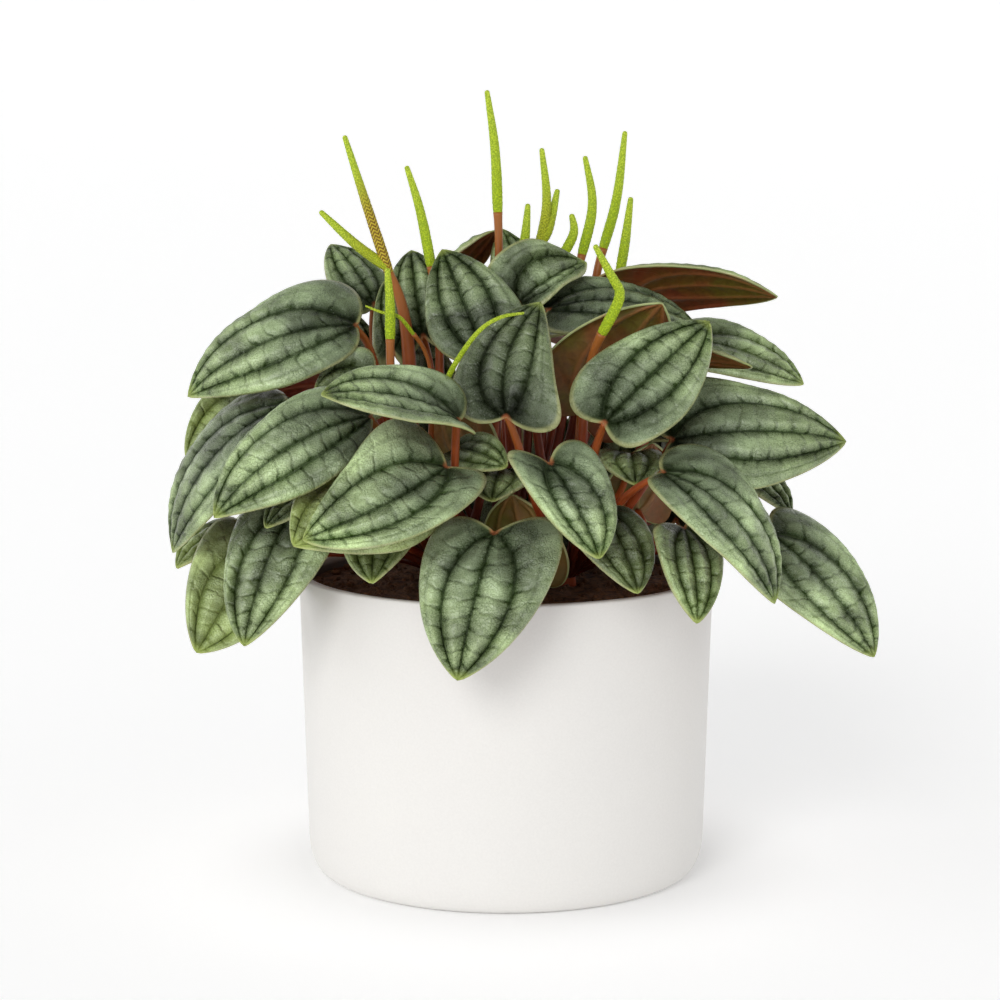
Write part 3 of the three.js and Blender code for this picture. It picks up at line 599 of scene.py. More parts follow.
def paintLeafUpper():
    material, tree, shader = startMaterial("waxyLeafUpper", IOR=1.55)
    veins = veinNodes(tree)
    skin = skinPattern(tree, veins)
    # Painted shade: the blade is darker round the stalk.
    deep = addNode(tree, "MapRange", {0: veins["along"], 1: 0.02, 2: 0.65, 3: 0.36, 4: 1.16}, **eased)
    colour = skinColour(tree, veins, skin, deep)
    tree.links.new(colour.outputs[2], shader.inputs["Base Color"])
    # Wax shines on the puffed panels and hardly at all down in the veins and round the stalk.
    shine = addNode(tree, "MapRange", {0: skin["silverSheen"], 1: 0.0, 2: 1.0, 3: 0.12, 4: 0.75})
    shine = addNode(tree, "Math", {0: shine, 1: deep}, operation="MULTIPLY")
    tree.links.new(shine.outputs[0], shader.inputs["Specular IOR Level"])
    rough = addNode(tree, "MapRange", {0: skin["frost"], 1: 0.3, 2: 0.7, 3: 0.22, 4: 0.36})
    rough = addNode(tree, "Math", {0: skin["groove"], 1: 0.15, 2: rough}, operation="MULTIPLY_ADD")
    tree.links.new(rough.outputs[0], shader.inputs["Roughness"])
    bump = skinRelief(tree, veins, skin)
    tree.links.new(bump.outputs[0], shader.inputs["Normal"])
    return material


# Underside: smooth wine-red skin, olive where the red is thin, with slightly raised paler veins.
leafUnder = {
    "red": "#833520",
    "deep": "#48180b",
    "olive": "#61500f",
    "vein": "#9c5836",
    "young": "#8f9a4c",
    "cloudMm": 22.0,
    "grainMm": 1.6,
}


def paintLeafUnder():
    look = leafUnder
    material, tree, shader = startMaterial("smoothLeafUnder", IOR=1.42, Roughness=0.46)
    veins = veinNodes(tree)
    point = veins["point"]
    vein = addNode(tree, "MapRange", {0: veins["toMain"], 1: 0.2, 2: 1.1, 3: 1.0, 4: 0.0}, **eased)
    rung = addNode(tree, "MapRange", {0: veins["toRung"], 1: 0.05, 2: 0.5, 3: 0.5, 4: 0.0}, **eased)
    broad = {"Vector": point, "Scale": 1 / (look["cloudMm"] * mm), "Detail": 3.0}
    cloud = addNode(tree, "TexNoise", broad)
    cloud = addNode(tree, "MapRange", {0: cloud, 1: 0.38, 2: 0.6, 3: 0.0, 4: 1.0})
    colour = addNode(tree, "Mix", {0: cloud, 6: paint(look["red"]), 7: paint(look["olive"])}, **inColour)
    grain = addNode(tree, "TexNoise", {"Vector": point, "Scale": 1 / (look["grainMm"] * mm), "Detail": 3.0})
    grain = addNode(tree, "MapRange", {0: grain, 1: 0.35, 2: 0.7, 3: 0.0, 4: 0.45})
    colour = addNode(tree, "Mix", {0: grain, 6: colour, 7: paint(look["deep"])}, **inColour)
    pale = addNode(tree, "Math", {0: vein, 1: 0.45}, operation="MULTIPLY")
    colour = addNode(tree, "Mix", {0: pale, 6: colour, 7: paint(look["vein"])}, **inColour)
    young = addNode(tree, "Math", {0: veins["tone"].outputs[1], 1: 0.9}, operation="MULTIPLY")
    colour = addNode(tree, "Mix", {0: young, 6: colour, 7: paint(look["young"])}, **inColour)
    tree.links.new(colour.outputs[2], shader.inputs["Base Color"])
    height = addNode(tree, "Math", {0: vein, 1: 0.4}, operation="MULTIPLY")
    height = addNode(tree, "Math", {0: rung, 1: 0.2, 2: height}, operation="MULTIPLY_ADD")
    height = addNode(tree, "Math", {0: grain, 1: 0.15, 2: height}, operation="MULTIPLY_ADD")
    bump = addNode(tree, "Bump", {"Height": height, "Distance": mm, "Strength": 0.6})
    tree.links.new(bump.outputs[0], shader.inputs["Normal"])
    return material


# Rim of the blade: a thin, pale, slightly glassy line, rusty in places.
leafRim = {"pale": "#a9b47a", "rust": "#ab8a5c", "cloudMm": 14.0}


def paintLeafRim():
    look = leafRim
    material, tree, shader = startMaterial("paleLeafRim", IOR=1.42, Roughness=0.42)
    point = addNode(tree, "TexCoord", {}).outputs["Object"]
    cloud = addNode(tree, "TexNoise", {"Vector": point, "Scale": 1 / (look["cloudMm"] * mm), "Detail": 2.0})
    cloud = addNode(tree, "MapRange", {0: cloud, 1: 0.48, 2: 0.68, 3: 0.0, 4: 0.8})
    colour = addNode(tree, "Mix", {0: cloud, 6: paint(look["pale"]), 7: paint(look["rust"])}, **inColour)
    tree.links.new(colour.outputs[2], shader.inputs["Base Color"])
    return material


# Stalks are fleshy, smooth and a little see-through: brick red, with fine streaks, a paler top and painted
# shade towards the root.
stalkLook = {
    "red": "#7a2812",
    "pale": "#a64c22",
    "green": "#9e6026",
    "dark": "#3a110a",
    "streaks": (9.0, 3.0, 1.0),  # round the stalk and along it
    "cloudMm": 9.0,
}


def paintStalk():
    look = stalkLook
    material, tree, shader = startMaterial("fleshyRedStalk", IOR=1.4, Roughness=0.36, Subsurface_Weight=0.12)
    shader.inputs["Subsurface Radius"].default_value = (1.2, 0.35, 0.2)
    shader.inputs["Subsurface Scale"].default_value = mm
    grow = addNode(tree, "UVMap", {}, uv_map="grow")
    along = addNode(tree, "SeparateXYZ", {0: grow}).outputs[1]
    point = addNode(tree, "TexCoord", {}).outputs["Object"]
    tone = addNode(tree, "Attribute", {}, attribute_name="tone").outputs["Color"]
    tone = addNode(tree, "SeparateColor", {0: tone})
    stretched = addNode(tree, "VectorMath", {0: grow, 1: look["streaks"]}, operation="MULTIPLY")
    streak = addNode(tree, "TexNoise", {"Vector": stretched, "Scale": 1.0, "Detail": 4.0, "Roughness": 0.6})
    cloud = addNode(tree, "TexNoise", {"Vector": point, "Scale": 1 / (look["cloudMm"] * mm), "Detail": 2.0})
    mixed = addNode(tree, "Math", {0: streak, 1: cloud}, operation="ADD")
    mixed = addNode(tree, "MapRange", {0: mixed, 1: 0.75, 2: 1.3, 3: 0.0, 4: 1.0})
    colour = addNode(tree, "Mix", {0: mixed, 6: paint(look["red"]), 7: paint(look["pale"])}, **inColour)
    top = addNode(tree, "MapRange", {0: along, 1: 0.55, 2: 1.0, 3: 0.0, 4: 1.0})
    top = addNode(tree, "Math", {0: top, 1: tone.outputs[1]}, operation="MULTIPLY")
    colour = addNode(tree, "Mix", {0: top, 6: colour, 7: paint(look["green"])}, **inColour)
    # Towards the root, deep in the plant, the stalk is darkened: painted shade.
    root = addNode(tree, "MapRange", {0: along, 1: 0.1, 2: 0.6, 3: 0.85, 4: 0.0})
    colour = addNode(tree, "Mix", {0: root, 6: colour, 7: paint(look["dark"])}, **inColour)
    tree.links.new(colour.outputs[2], shader.inputs["Base Color"])
    bump = addNode(tree, "Bump", {"Height": streak, "Distance": 0.25 * mm, "Strength": 0.7})
    tree.links.new(bump.outputs[0], shader.inputs["Normal"])
    return material


# Spikes are packed with tiny florets: bright lime, yellower towards the tip, golden brown when old.
spikeLook = {
    "lime": "#bcd422",
    "tip": "#d3e548",
    "gap": "#86a312",
    "gold": "#cdb53a",
    "seam": "#83601c",
    "floretMm": 0.6,
    "braidMm": 1.25,
    "braidedMm": 46.0,  # the length of a spike that the braid's rows are counted on
    "zigzags": 5.0,
}


def paintSpike():
    look = spikeLook
    material, tree, shader = startMaterial("grainyLimeSpike", IOR=1.4, Roughness=0.5, Subsurface_Weight=0.1)
    shader.inputs["Subsurface Radius"].default_value = (0.8, 0.9, 0.2)
    shader.inputs["Subsurface Scale"].default_value = mm
    split = addNode(tree, "SeparateXYZ", {0: addNode(tree, "UVMap", {}, uv_map="grow")})
    around, along = split.outputs[0], split.outputs[1]
    point = addNode(tree, "TexCoord", {}).outputs["Object"]
    tone = addNode(tree, "Attribute", {}, attribute_name="tone").outputs["Color"]
    tone = addNode(tree, "SeparateColor", {0: tone})
    up = addNode(tree, "MapRange", {0: along, 1: 0.2, 2: 1.0, 3: 0.0, 4: 1.0})
    colour = addNode(tree, "Mix", {0: up, 6: paint(look["lime"]), 7: paint(look["tip"])}, **inColour)
    floret = addNode(tree, "TexVoronoi", {"Vector": point, "Scale": 1 / (look["floretMm"] * mm)})
    gap = addNode(tree, "MapRange", {0: floret, 1: 0.3, 2: 0.7, 3: 0.0, 4: 0.8})
    colour = addNode(tree, "Mix", {0: gap, 6: colour, 7: paint(look["gap"])}, **inColour)
    # Old spikes turn gold from the foot up, in a braid of slanting rows with brown seams.
    slant = addNode(tree, "Math", {0: around, 1: look["zigzags"]}, operation="MULTIPLY")
    slant = addNode(tree, "Math", {0: slant, 1: 0.5}, operation="PINGPONG")
    rows = look["braidedMm"] / look["braidMm"]
    row = addNode(tree, "Math", {0: along, 1: rows}, operation="MULTIPLY")
    row = addNode(tree, "Math", {0: slant, 1: 1.7, 2: row}, operation="MULTIPLY_ADD")
    row = addNode(tree, "Math", {0: row, 1: 0.5}, operation="PINGPONG")
    seam = addNode(tree, "MapRange", {0: row, 1: 0.12, 2: 0.3, 3: 1.0, 4: 0.0}, **eased)
    braid = addNode(tree, "Mix", {0: seam, 6: paint(look["gold"]), 7: paint(look["seam"])}, **inColour)
    old = addNode(tree, "MapRange", {0: along, 1: 0.35, 2: 0.8, 3: 1.0, 4: 0.0}, **eased)
    old = addNode(tree, "Math", {0: old, 1: tone}, operation="MULTIPLY", use_clamp=True)
    colour = addNode(tree, "Mix", {0: old, 6: colour, 7: braid}, **inColour)
    tree.links.new(colour.outputs[2], shader.inputs["Base Color"])
    height = addNode(tree, "Math", {0: gap, 1: -1.0}, operation="MULTIPLY")
    seamDepth = addNode(tree, "Math", {0: seam, 1: old}, operation="MULTIPLY")
    height = addNode(tree, "Math", {0: seamDepth, 1: -1.0, 2: height}, operation="MULTIPLY_ADD")
    bump = addNode(tree, "Bump", {"Height": height, "Distance": 0.35 * mm, "Strength": 0.9})
    tree.links.new(bump.outputs[0], shader.inputs["Normal"])
    return material


# Stalks and stems, in millimetres. A stem is the short thick foot of a crown, in the soil.
stalk = {
    "tipRadius": 1.3,
    "rootRadius": 2.0,
    "smallLeaf": 28,  # leaves narrower than this have stalks that are thinner by this share
    "slim": 0.8,
    "neck": 3.5,
    "spikeNeck": 3,
    "seatUnder": 0.35,  # where a stalk meets its blade, under it and ahead of its base
    "seatAhead": 0.8,
    "taper": 0.8,
    "broadFrom": 2.5,  # a stalk with a root this wide stays wide for most of its length
    "broadTaper": 3.2,
    "collar": 2.2,
    "sides": 14,
    "stepMm": 1.2,
}
stem = {"radius": 5.5, "top": 115, "bottom": 82, "sides": 28, "stepMm": 1.5}
stalkSkin = paintStalk()


# Small leaves deep in the plant, which close the view between the stalks. They are darker as painted shade.
innerLeaves = [
    [2, [16, 44, 120], [21, 60, 160], 30, 0, 30, 20, 30],
    [1, [41, 42, 118], [44, 60, 158], 32, 8, 30, 20, 30],
    [2, [-9, 46, 118], [-13, 64, 158], 30, -6, 30, 20, 30],
    [1, [64, 36, 122], [72, 50, 156], 32, 10, 30, 20, 30],
    [0, [-36, 38, 128], [-40, 56, 170], 30, -8, 30, 20, 30],
    [0, [-56, 22, 142], [-66, 34, 182], 28, -10, 30, 20, 30],
    [2, [3, 20, 112], [2, 34, 146], 26, 0, 30, 20, 30],
    [1, [30, 22, 116], [34, 34, 150], 26, 0, 30, 20, 30],
    [0, [-50, 34, 156], [-60, 42, 202], 30, 20, 30, 20, 30],
    [0, [-29, 38, 150], [-31, 46, 192], 34, -10, 30, 20, 30],
    [0, [-62, 25, 171], [-99, 20, 164], 22, -60, 20, 20, 20],
    [1, [30, 60, 128], [36, 66, 169], 36, 0, 30, 20, 30],
    [1, [58, 52, 130], [65, 58, 166], 32, 10, 30, 20, 30],
]
innerLeaves = [asLeaf(row) for row in innerLeaves]
# Thin young spikes that curl.
curlSpikes = [
    {
        "crown": 0,
        "line": [[-23, -46, 178], [-17.5, -56, 190], [-9.6, -62, 201.5], [-2, -62, 206.4], [6, -57, 207.4]],
        "radius": 1.0,
    },
    {
        "crown": 0,
        "line": [[-33, -8, 196], [-38, -12, 202.6], [-44, -12, 204], [-50, -12, 206.4]],
        "radius": 0.75,
    },
]


# The line of a stalk: out of its crown, and up to a seat that it meets along the given direction.
def stalkLine(crown, seat, arrive, neck):
    middle = Vector((*crowns[crown], 0))
    outward = Vector((seat.x, seat.y, 0)) - middle
    reach = outward.length
    outward.normalize()
    root = middle + Vector((0, 0, stem["top"] - 5)) + outward * 2.5
    end = seat - arrive * neck
    span = (end - root).length
    start = (Vector((0, 0, 1)) + outward * min(1.6, reach / 40)).normalized()
    a, b = root + start * (0.4 * span), end - arrive * (0.25 * span)
    line = []
    for i in range(25):
        s = i / 24
        line.append(root * (1 - s) ** 3 + a * (3 * s * (1 - s) ** 2) + b * (3 * s**2 * (1 - s)) + end * s**3)
    return line + [seat]


def growStalk(bm, line, rootRadius, tipRadius, tone):
    line, length = evenLine(line, stalk["stepMm"])
    phase = dice.uniform(0, 6)
    taper = stalk["broadTaper"] if rootRadius > stalk["broadFrom"] else stalk["taper"]

    # The stalk is a little knobbly, and widens into a collar under its blade or spike.
    def radiusAt(share, angle):
        radius = rootRadius + (tipRadius - rootRadius) * share**taper
        node = 0.06 * math.sin(9 * share + phase) + 0.05 * math.cos(2 * angle + phase + 5 * share)
        collar = 0.16 * math.exp(-((1 - share) * length / stalk["collar"]))
        return radius * (1 + node + collar)

    rollTube(bm, line, stalk["sides"], radiusAt, tone)


def stemRadius(share, angle):
    return stem["radius"] * (1 - 0.3 * share) * (1 + 0.05 * math.cos(5 * angle + 9 * share))


# A crown in one piece: the stalks of its leaves, the stalks of its spikes and its stem.
def growCrown(k):
    bm = bmesh.new()
    for leaf in leaves + youngLeaves + innerLeaves:
        if leaf["crown"] != k:
            continue
        base, along, face = leafFrame(leaf)[:3]
        seat = base - face * stalk["seatUnder"] + along * stalk["seatAhead"]
        arrive = (face + along * 0.35).normalized()
        slim = stalk["slim"] if sum(leaf["halves"]) < stalk["smallLeaf"] else 1.0
        tone = (dice.random(), dice.random(), dice.random())
        line = stalkLine(k, seat, arrive, stalk["neck"])
        growStalk(bm, line, stalk["rootRadius"] * slim, stalk["tipRadius"] * slim, tone)
    for one in spikes + curlSpikes:
        if one["crown"] != k:
            continue
        foot, ahead = Vector(one["line"][0]), Vector(one["line"][1])
        arrive = (Vector(one["lean"]) if "lean" in one else ahead - foot).normalized()
        tone = (dice.random(), 1.0, dice.random())
        top = one.get("radius", 1.5)
        root = one.get("rootRadius", min(stalk["rootRadius"], 1.3 * top))
        growStalk(bm, stalkLine(k, foot, arrive, stalk["spikeNeck"]), root, top, tone)
    ends = [Vector((*crowns[k], stem["bottom"])), Vector((*crowns[k], stem["top"]))]
    rollTube(bm, evenLine(ends, stem["stepMm"])[0], stem["sides"], stemRadius, (0.2, 0, 0.5))
    bmesh.ops.remove_doubles(bm, verts=bm.verts, dist=1e-6)
    bmesh.ops.recalc_face_normals(bm, faces=bm.faces)
    finishPiece(bm, f"stalks_{k + 1}", [stalkSkin], [f"crown_{k + 1}"])


for k in range(len(crowns)):
    growCrown(k)
print("stalks grown")


# Each blade has three layers: its upper skin, its underside and its rim.
leafLayers = [paintLeafUpper(), paintLeafUnder(), paintLeafRim()]
for i, leaf in enumerate(leaves):
    bright, young = leafTones.get(i + 1, (dice.uniform(0.8, 1.0), dice.uniform(0.0, 0.12)))
    leaf.update(phase=dice.uniform(0, 6.28), tone=(bright, young, dice.random()))
    growBlade(leaf, f"blade_{i + 1:02d}", [f"leaf_{i + 1:02d}"])
for i, leaf in enumerate(youngLeaves):
    leaf.update(phase=dice.uniform(0, 6.28), tone=(0.8, dice.uniform(0.1, 0.35), dice.random()))
    growBlade(leaf, f"youngBlade_{i + 1}", [f"crown_{leaf['crown'] + 1}"], 0.6)
for i, leaf in enumerate(innerLeaves):
    # Inner blades get a low brightness: painted shade deep in the plant.
    leaf.update(phase=dice.uniform(0, 6.28), tone=(dice.uniform(0.5, 0.7), 0.0, dice.random()))
    growBlade(leaf, f"innerBlade_{i + 1}", [], 0.6)
print("blades grown")


# The flower spikes, in millimetres.
spikeShape = {
    "radius": 1.95,
    "tipRadius": 0.9,
    "sides": 32,
    "stepMm": 0.25,
    "around": 8,  # rows of florets round a spike
    "rowMm": 0.7,
    "knob": 0.05,
    "easing": 10,  # how many times the line is smoothed
}
# How golden and braided the older spikes are, by number, and the branches.
oldSpikes = {1: 1.0, 6: 0.35}
oldBranch = 0.25
spikeSkin = paintSpike()


def growSpike(bm, points, tone, wide):
    line = smoothLine(points, 12)
    for step in range(spikeShape["easing"]):
        line[1:-1] = [(a + 2 * b + c) / 4 for a, b, c in zip(line, line[1:], line[2:])]
    line, length = evenLine(line, spikeShape["stepMm"])
    slim = spikeShape["tipRadius"] / spikeShape["radius"] * wide

    def radiusAt(share, angle):
        taper = (wide + (slim - wide) * share**2) * (1 - 0.16 * math.exp(-share * length / 2.5))
        far = (1 - share) * length
        if far < slim:  # a round tip
            taper *= math.sqrt(max(0.0, 1 - (1 - far / slim) ** 2))
        reach = share * length
        twist = angle + 0.12 * reach
        knob = math.cos(spikeShape["around"] * twist) * math.cos(math.pi * reach / spikeShape["rowMm"])
        rough = noise.noise(Vector((math.cos(angle) * 2, math.sin(angle) * 2, reach * 1.4)))
        return max(0.02, taper * (1 + spikeShape["knob"] * knob + 0.05 * rough))

    rollTube(bm, line, spikeShape["sides"], radiusAt, tone)


def finishSpike(bm, name, replaced=()):
    bmesh.ops.remove_doubles(bm, verts=bm.verts, dist=1e-6)
    bmesh.ops.recalc_face_normals(bm, faces=bm.faces)
    finishPiece(bm, name, [spikeSkin], replaced)


for i, one in enumerate(spikes):
    bm = bmesh.new()
    tone = (oldSpikes.get(i + 1, 0.0), dice.random(), dice.random())
    growSpike(bm, one["line"], tone, spikeShape["radius"])
    if "branch" in one:
        growSpike(bm, one["branch"], (oldBranch, *tone[1:]), spikeShape["radius"])
    finishSpike(bm, f"spikeFlower_{i + 1:02d}", [f"spike_{i + 1:02d}"])
for i, one in enumerate(curlSpikes):
    bm = bmesh.new()
    growSpike(bm, one["line"], (0.0, dice.random(), dice.random()), one["radius"])
    finishSpike(bm, f"curlSpike_{i + 1}")
print("spikes grown")


# The pot: a turned profile in millimetres, two close whites and a dark brown inside the wall.
pot = {
    "height": 110,
    "rimRadius": 75,
    "bodyRadius": 72.2,
    "footRadius": 67,
    "footRise": 14,
    "wall": 3,
    "floor": 5,
    "lipRound": 1,
    "hollow": 0.8,  # under the base, inside the ring that the pot stands on
    "white": "#dfddda",
    "cream": "#e2e0dc",
    "cloudMm": 35.0,
    "grainMm": 0.8,
    "innerBrown": "#3a281b",
    "brownInside": 73.2,  # the brown is on what lies inside this radius and above this height
    "brownAbove": 80.0,
    "brownFull": 107.6,
    "steps": 160,
}


# Points on an arc of an ellipse, with its start and end in degrees.
def arc(middle, radii, start, end, count):
    turns = [math.radians(start + (end - start) * i / count) for i in range(count + 1)]
    return [(middle[0] + radii[0] * math.cos(a), middle[1] + radii[1] * math.sin(a)) for a in turns]


# Satin glaze: nearly even white, with soft clouds of gloss and a grain that shows only close by.
def paintGlaze():
    material, tree, shader = startMaterial("satinWhiteGlaze", IOR=1.5)
    point = addNode(tree, "TexCoord", {}).outputs["Object"]
    cloud = addNode(tree, "TexNoise", {"Vector": point, "Scale": 1 / (pot["cloudMm"] * mm), "Detail": 2.0})
    grain = addNode(tree, "TexNoise", {"Vector": point, "Scale": 1 / (pot["grainMm"] * mm), "Detail": 2.0})
    colour = addNode(tree, "Mix", {0: cloud, 6: paint(pot["white"]), 7: paint(pot["cream"])}, **inColour)
    light = addNode(tree, "MapRange", {0: grain, 1: 0.0, 2: 1.0, 3: 0.96, 4: 1.04})
    colour = addNode(tree, "Mix", {0: 1.0, 6: colour, 7: light}, blend_type="MULTIPLY", **inColour)
    # The inside of the wall is dark brown, up to just under the rim.
    level = addNode(tree, "VectorMath", {0: point, 1: (1.0, 1.0, 0.0)}, operation="MULTIPLY")
    reach = addNode(tree, "VectorMath", {0: level}, operation="LENGTH").outputs["Value"]
    inside = addNode(tree, "Math", {0: reach, 1: pot["brownInside"] * mm}, operation="LESS_THAN")
    high = addNode(tree, "SeparateXYZ", {0: point}).outputs[2]
    high = addNode(tree, "Math", {0: cloud, 1: 2 * mm, 2: high}, operation="MULTIPLY_ADD")
    ends = {1: pot["brownFull"] * mm, 2: pot["height"] * mm, 3: 0.92, 4: 0.0}
    innerBrown = addNode(tree, "MapRange", {0: high, **ends})
    above = addNode(tree, "Math", {0: high, 1: pot["brownAbove"] * mm}, operation="GREATER_THAN")
    innerBrown = addNode(tree, "Math", {0: innerBrown, 1: above}, operation="MULTIPLY")
    innerBrown = addNode(tree, "Math", {0: innerBrown, 1: inside}, operation="MULTIPLY")
    colour = addNode(tree, "Mix", {0: innerBrown, 6: colour, 7: paint(pot["innerBrown"])}, **inColour)
    tree.links.new(colour.outputs[2], shader.inputs["Base Color"])
    rough = addNode(tree, "MapRange", {0: cloud, 1: 0.0, 2: 1.0, 3: 0.3, 4: 0.46})
    tree.links.new(rough.outputs[0], shader.inputs["Roughness"])
    bump = addNode(tree, "Bump", {"Height": grain, "Distance": 0.04 * mm, "Strength": 0.3})
    tree.links.new(bump.outputs[0], shader.inputs["Normal"])
    return material


# Turns a profile of radii and heights round the upright axis.
def spinProfile(bm, profile, steps):
    verts = [bm.verts.new((r * mm, 0, z * mm)) for r, z in profile]
    edges = [bm.edges.new(pair) for pair in zip(verts, verts[1:])]
    turn = {"cent": (0, 0, 0), "axis": (0, 0, 1), "angle": 2 * math.pi, "steps": steps}
    bmesh.ops.spin(bm, geom=verts + edges, use_merge=True, **turn)
    bmesh.ops.remove_doubles(bm, verts=bm.verts, dist=1e-6)
    bmesh.ops.recalc_face_normals(bm, faces=bm.faces)


# The profile runs from the middle of the base out to the foot, up to the lip and down inside.
def turnPot():
    foot, body, rim, lip = pot["footRadius"], pot["bodyRadius"], pot["rimRadius"], pot["lipRound"]
    profile = [(0, pot["hollow"]), (foot - 7, pot["hollow"]), (foot - 5.4, 0)]
    profile += [(foot - 1.3, 0), (foot - 0.9, 0.5)]
    low = (foot - 0.6, pot["footRise"])
    profile += arc(low, (body - foot + 0.6, pot["footRise"] - 0.55), -84, 0, 14)
    for i in range(1, 24):
        share = i / 24
        high = pot["footRise"] + (pot["height"] - lip - pot["footRise"]) * share
        profile.append((body + (rim - body) * share, high))
    profile += arc((rim - lip, pot["height"] - lip), (lip, lip), 0, 90, 6)
    profile += arc((rim - pot["wall"] + lip, pot["height"] - lip), (lip, lip), 90, 180, 6)
    profile += [(body - pot["wall"], pot["footRise"]), (foot - 1, pot["floor"]), (0, pot["floor"])]
    bm = bmesh.new()
    spinProfile(bm, profile, pot["steps"])
    finishPiece(bm, "glazedPot", [paintGlaze()], ["pot"])


turnPot()
print("pot turned")


# The soil: a low dome with a rough top and loose crumbs on it, in millimetres.
soil = {
    "top": 104.6,
    "dome": 1.0,
    "crumb": 1.3,
    "clear": 0.4,  # the gap between the soil and the pot
    "rings": 44,
    "steps": 120,
    "crumbs": 420,
    "dark": "#42291a",
    "light": "#896040",
    "clumpMm": 3.2,
    "grainMm": 1.3,
}


# Damp potting soil: dark, crumbly and quite without shine.
def paintSoil():
    material, tree, shader = startMaterial("dampPottingSoil", Roughness=0.92)
    point = addNode(tree, "TexCoord", {}).outputs["Object"]
    lumps = {"Vector": point, "Scale": 1 / (soil["clumpMm"] * mm), "Detail": 5.0, "Roughness": 0.7}
    clump = addNode(tree, "TexNoise", lumps)
    fine = addNode(tree, "TexVoronoi", {"Vector": point, "Scale": 1 / (soil["grainMm"] * mm)})
    shade = addNode(tree, "MapRange", {0: clump, 1: 0.35, 2: 0.7, 3: 0.0, 4: 1.0})
    colour = addNode(tree, "Mix", {0: shade, 6: paint(soil["dark"]), 7: paint(soil["light"])}, **inColour)
    tree.links.new(colour.outputs[2], shader.inputs["Base Color"])
    height = addNode(tree, "Math", {0: fine, 1: 0.5, 2: clump}, operation="MULTIPLY_ADD")
    bump = addNode(tree, "Bump", {"Height": height, "Distance": 0.8 * mm, "Strength": 0.9})
    tree.links.new(bump.outputs[0], shader.inputs["Normal"])
    return material


def fillSoil():
    top, rings = soil["top"], soil["rings"]
    share = (top - pot["footRise"]) / (pot["height"] - pot["lipRound"] - pot["footRise"])
    wall = pot["bodyRadius"] + (pot["rimRadius"] - pot["bodyRadius"]) * share - pot["wall"] - soil["clear"]
    profile = [(wall * i / rings, top) for i in range(rings + 1)]
    profile.append((pot["bodyRadius"] - pot["wall"] - 0.5, pot["footRise"]))
    profile += [(pot["footRadius"] - 2, pot["floor"] + 0.3), (0, pot["floor"] + 0.3)]
    bm = bmesh.new()
    spinProfile(bm, profile, soil["steps"])
    # The top is raised into a dome and roughened, less so where it meets the wall.
    for vert in bm.verts:
        if vert.co.z < (top - 1) * mm:
            continue
        x, y = vert.co.x / mm, vert.co.y / mm
        reach = math.hypot(x, y) / wall
        rough = noise.noise(Vector((x / 7, y / 7, 1))) + 0.6 * noise.noise(Vector((x / 2.4, y / 2.4, 5)))
        crumbly = soil["crumb"] * rough * min(1, 6 * (1 - reach) + 0.2)
        vert.co.z += (soil["dome"] * (1 - reach**2) + crumbly) * mm
    for i in range(soil["crumbs"]):
        angle, reach = dice.uniform(0, 2 * math.pi), wall * math.sqrt(dice.uniform(0.02, 0.93))
        size = dice.uniform(0.5, 1.7)
        place = Matrix.Translation(Vector((reach * math.cos(angle), reach * math.sin(angle), top + 0.7)) * mm)
        angle = dice.uniform(0, 6)
        turn = Matrix.Rotation(angle, 4, Vector((dice.random(), dice.random(), 0.4)).normalized())
        shape = Matrix.Diagonal((dice.uniform(0.7, 1.5), dice.uniform(0.7, 1.3), dice.uniform(0.5, 0.9), 1))
        bmesh.ops.create_icosphere(bm, subdivisions=1, radius=size * mm, matrix=place @ turn @ shape)
    finishPiece(bm, "soilBed", [paintSoil()], ["soil"])


fillSoil()
print("soil filled")


# A white floor that rises gently far away, so that it meets the white sky above the horizon.
# Lengths are in millimetres, and a light's spread is in degrees.
studio = {
    "flatRadius": 2500,
    "reach": 24000,
    "rise": 4800,
    "floorWhite": "#f2f2f2",
    "floorGlow": 0.4,
    "footShade": {"from": 66.0, "to": 128.0, "depth": 0.24},
    "ring": 1.01,
    "zenith": 0.2,
    "suns": {
        "wideSideLight": {"strength": 0.42, "spread": 50.0, "from": (-1.0, -0.2, 0.35)},
        "frontSheenLight": {"strength": 1.1, "spread": 26.0, "from": (-0.3, -0.85, 0.42)},
    },
}


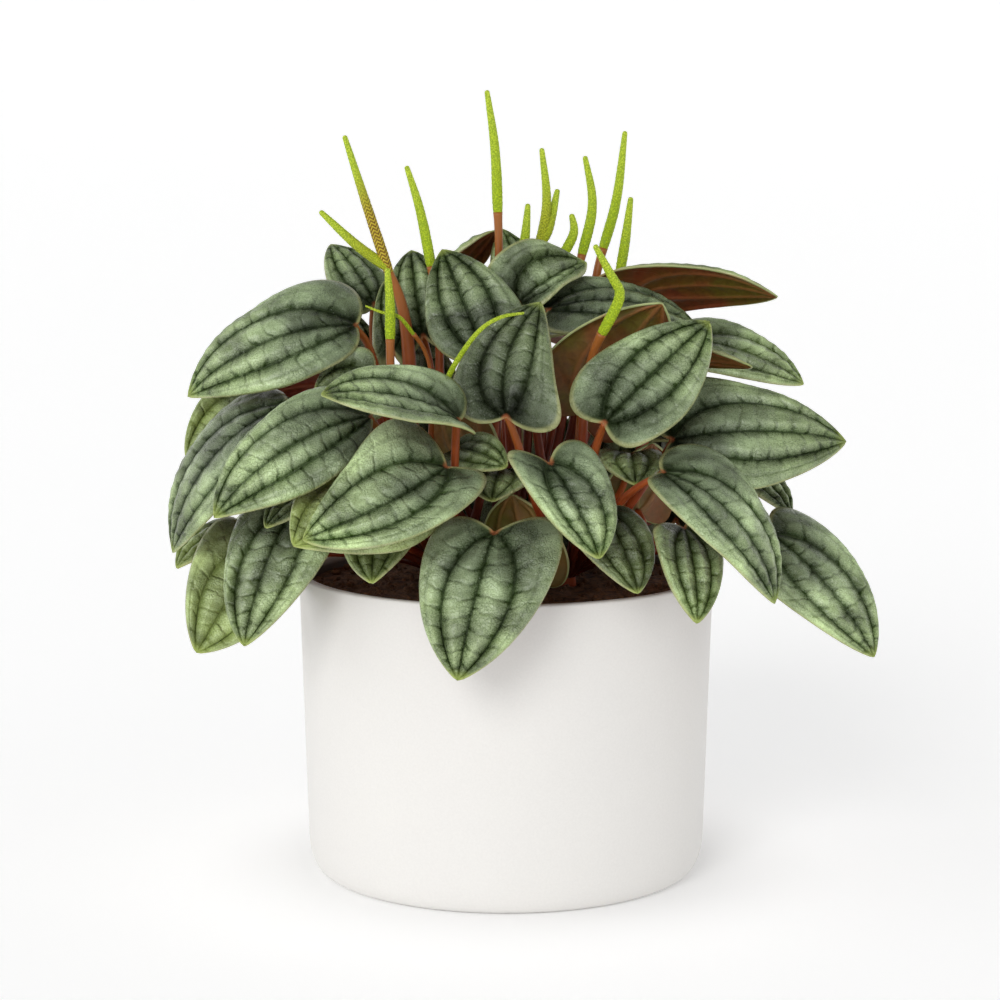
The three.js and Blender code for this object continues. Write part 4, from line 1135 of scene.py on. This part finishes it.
# White floor: matt, with a glow of its own that fades towards the foot of the pot, a painted contact shadow.
def paintFloor():
    white = {"Base_Color": paint(studio["floorWhite"]), "Emission_Color": (1, 1, 1, 1)}
    material, tree, shader = startMaterial("whiteFloor", Roughness=0.8, **white)
    foot = studio["footShade"]
    point = addNode(tree, "TexCoord", {}).outputs["Object"]
    reach = addNode(tree, "VectorMath", {0: point}, operation="LENGTH").outputs["Value"]
    near = addNode(tree, "MapRange", {0: reach, 1: foot["from"] * mm, 2: foot["to"] * mm, 3: 1.0, 4: 0.0})
    near = addNode(tree, "Math", {0: near, 1: 2.0}, operation="POWER")
    fading = {0: near, 1: -foot["depth"], 2: studio["floorGlow"]}
    glow = addNode(tree, "Math", fading, operation="MULTIPLY_ADD")
    tree.links.new(glow.outputs[0], shader.inputs["Emission Strength"])
    return material


def layFloor():
    profile = [(0, 0), (studio["flatRadius"], 0)]
    for i in range(1, 13):
        share = i / 12
        far = studio["flatRadius"] + (studio["reach"] - studio["flatRadius"]) * share
        profile.append((far, studio["rise"] * share**2))
    bm = bmesh.new()
    spinProfile(bm, profile, 48)
    mesh = bpy.data.meshes.new("studioFloor")
    bm.to_mesh(mesh)
    bm.free()
    mesh.polygons.foreach_set("use_smooth", [True] * len(mesh.polygons))
    mesh.materials.append(paintFloor())
    floor = bpy.data.objects.new("studioFloor", mesh)
    scene.collection.objects.link(floor)


# A ring of soft light round the table, bright near the horizon and dim overhead, and two lamps.
def lightStudio():
    world = bpy.data.worlds.new("studioWorld")
    scene.world = world
    world.use_nodes = True
    sky = world.node_tree
    background = sky.nodes["Background"]
    background.inputs["Color"].default_value = (1, 1, 1, 1)
    up = addNode(sky, "SeparateXYZ", {0: addNode(sky, "TexCoord", {}).outputs["Generated"]}).outputs[2]
    ends = {1: 0.25, 2: 0.85, 3: studio["ring"], 4: studio["zenith"]}
    glow = addNode(sky, "MapRange", {0: up, **ends}, **eased)
    sky.links.new(glow.outputs[0], background.inputs["Strength"])
    for name, row in studio["suns"].items():
        lamp = bpy.data.lights.new(name, "SUN")
        lamp.energy = row["strength"]
        lamp.angle = math.radians(row["spread"])
        sun = bpy.data.objects.new(name, lamp)
        sun.rotation_euler = (-Vector(row["from"])).to_track_quat("-Z", "Y").to_euler()
        scene.collection.objects.link(sun)


layFloor()
lightStudio()
print("studio lit")
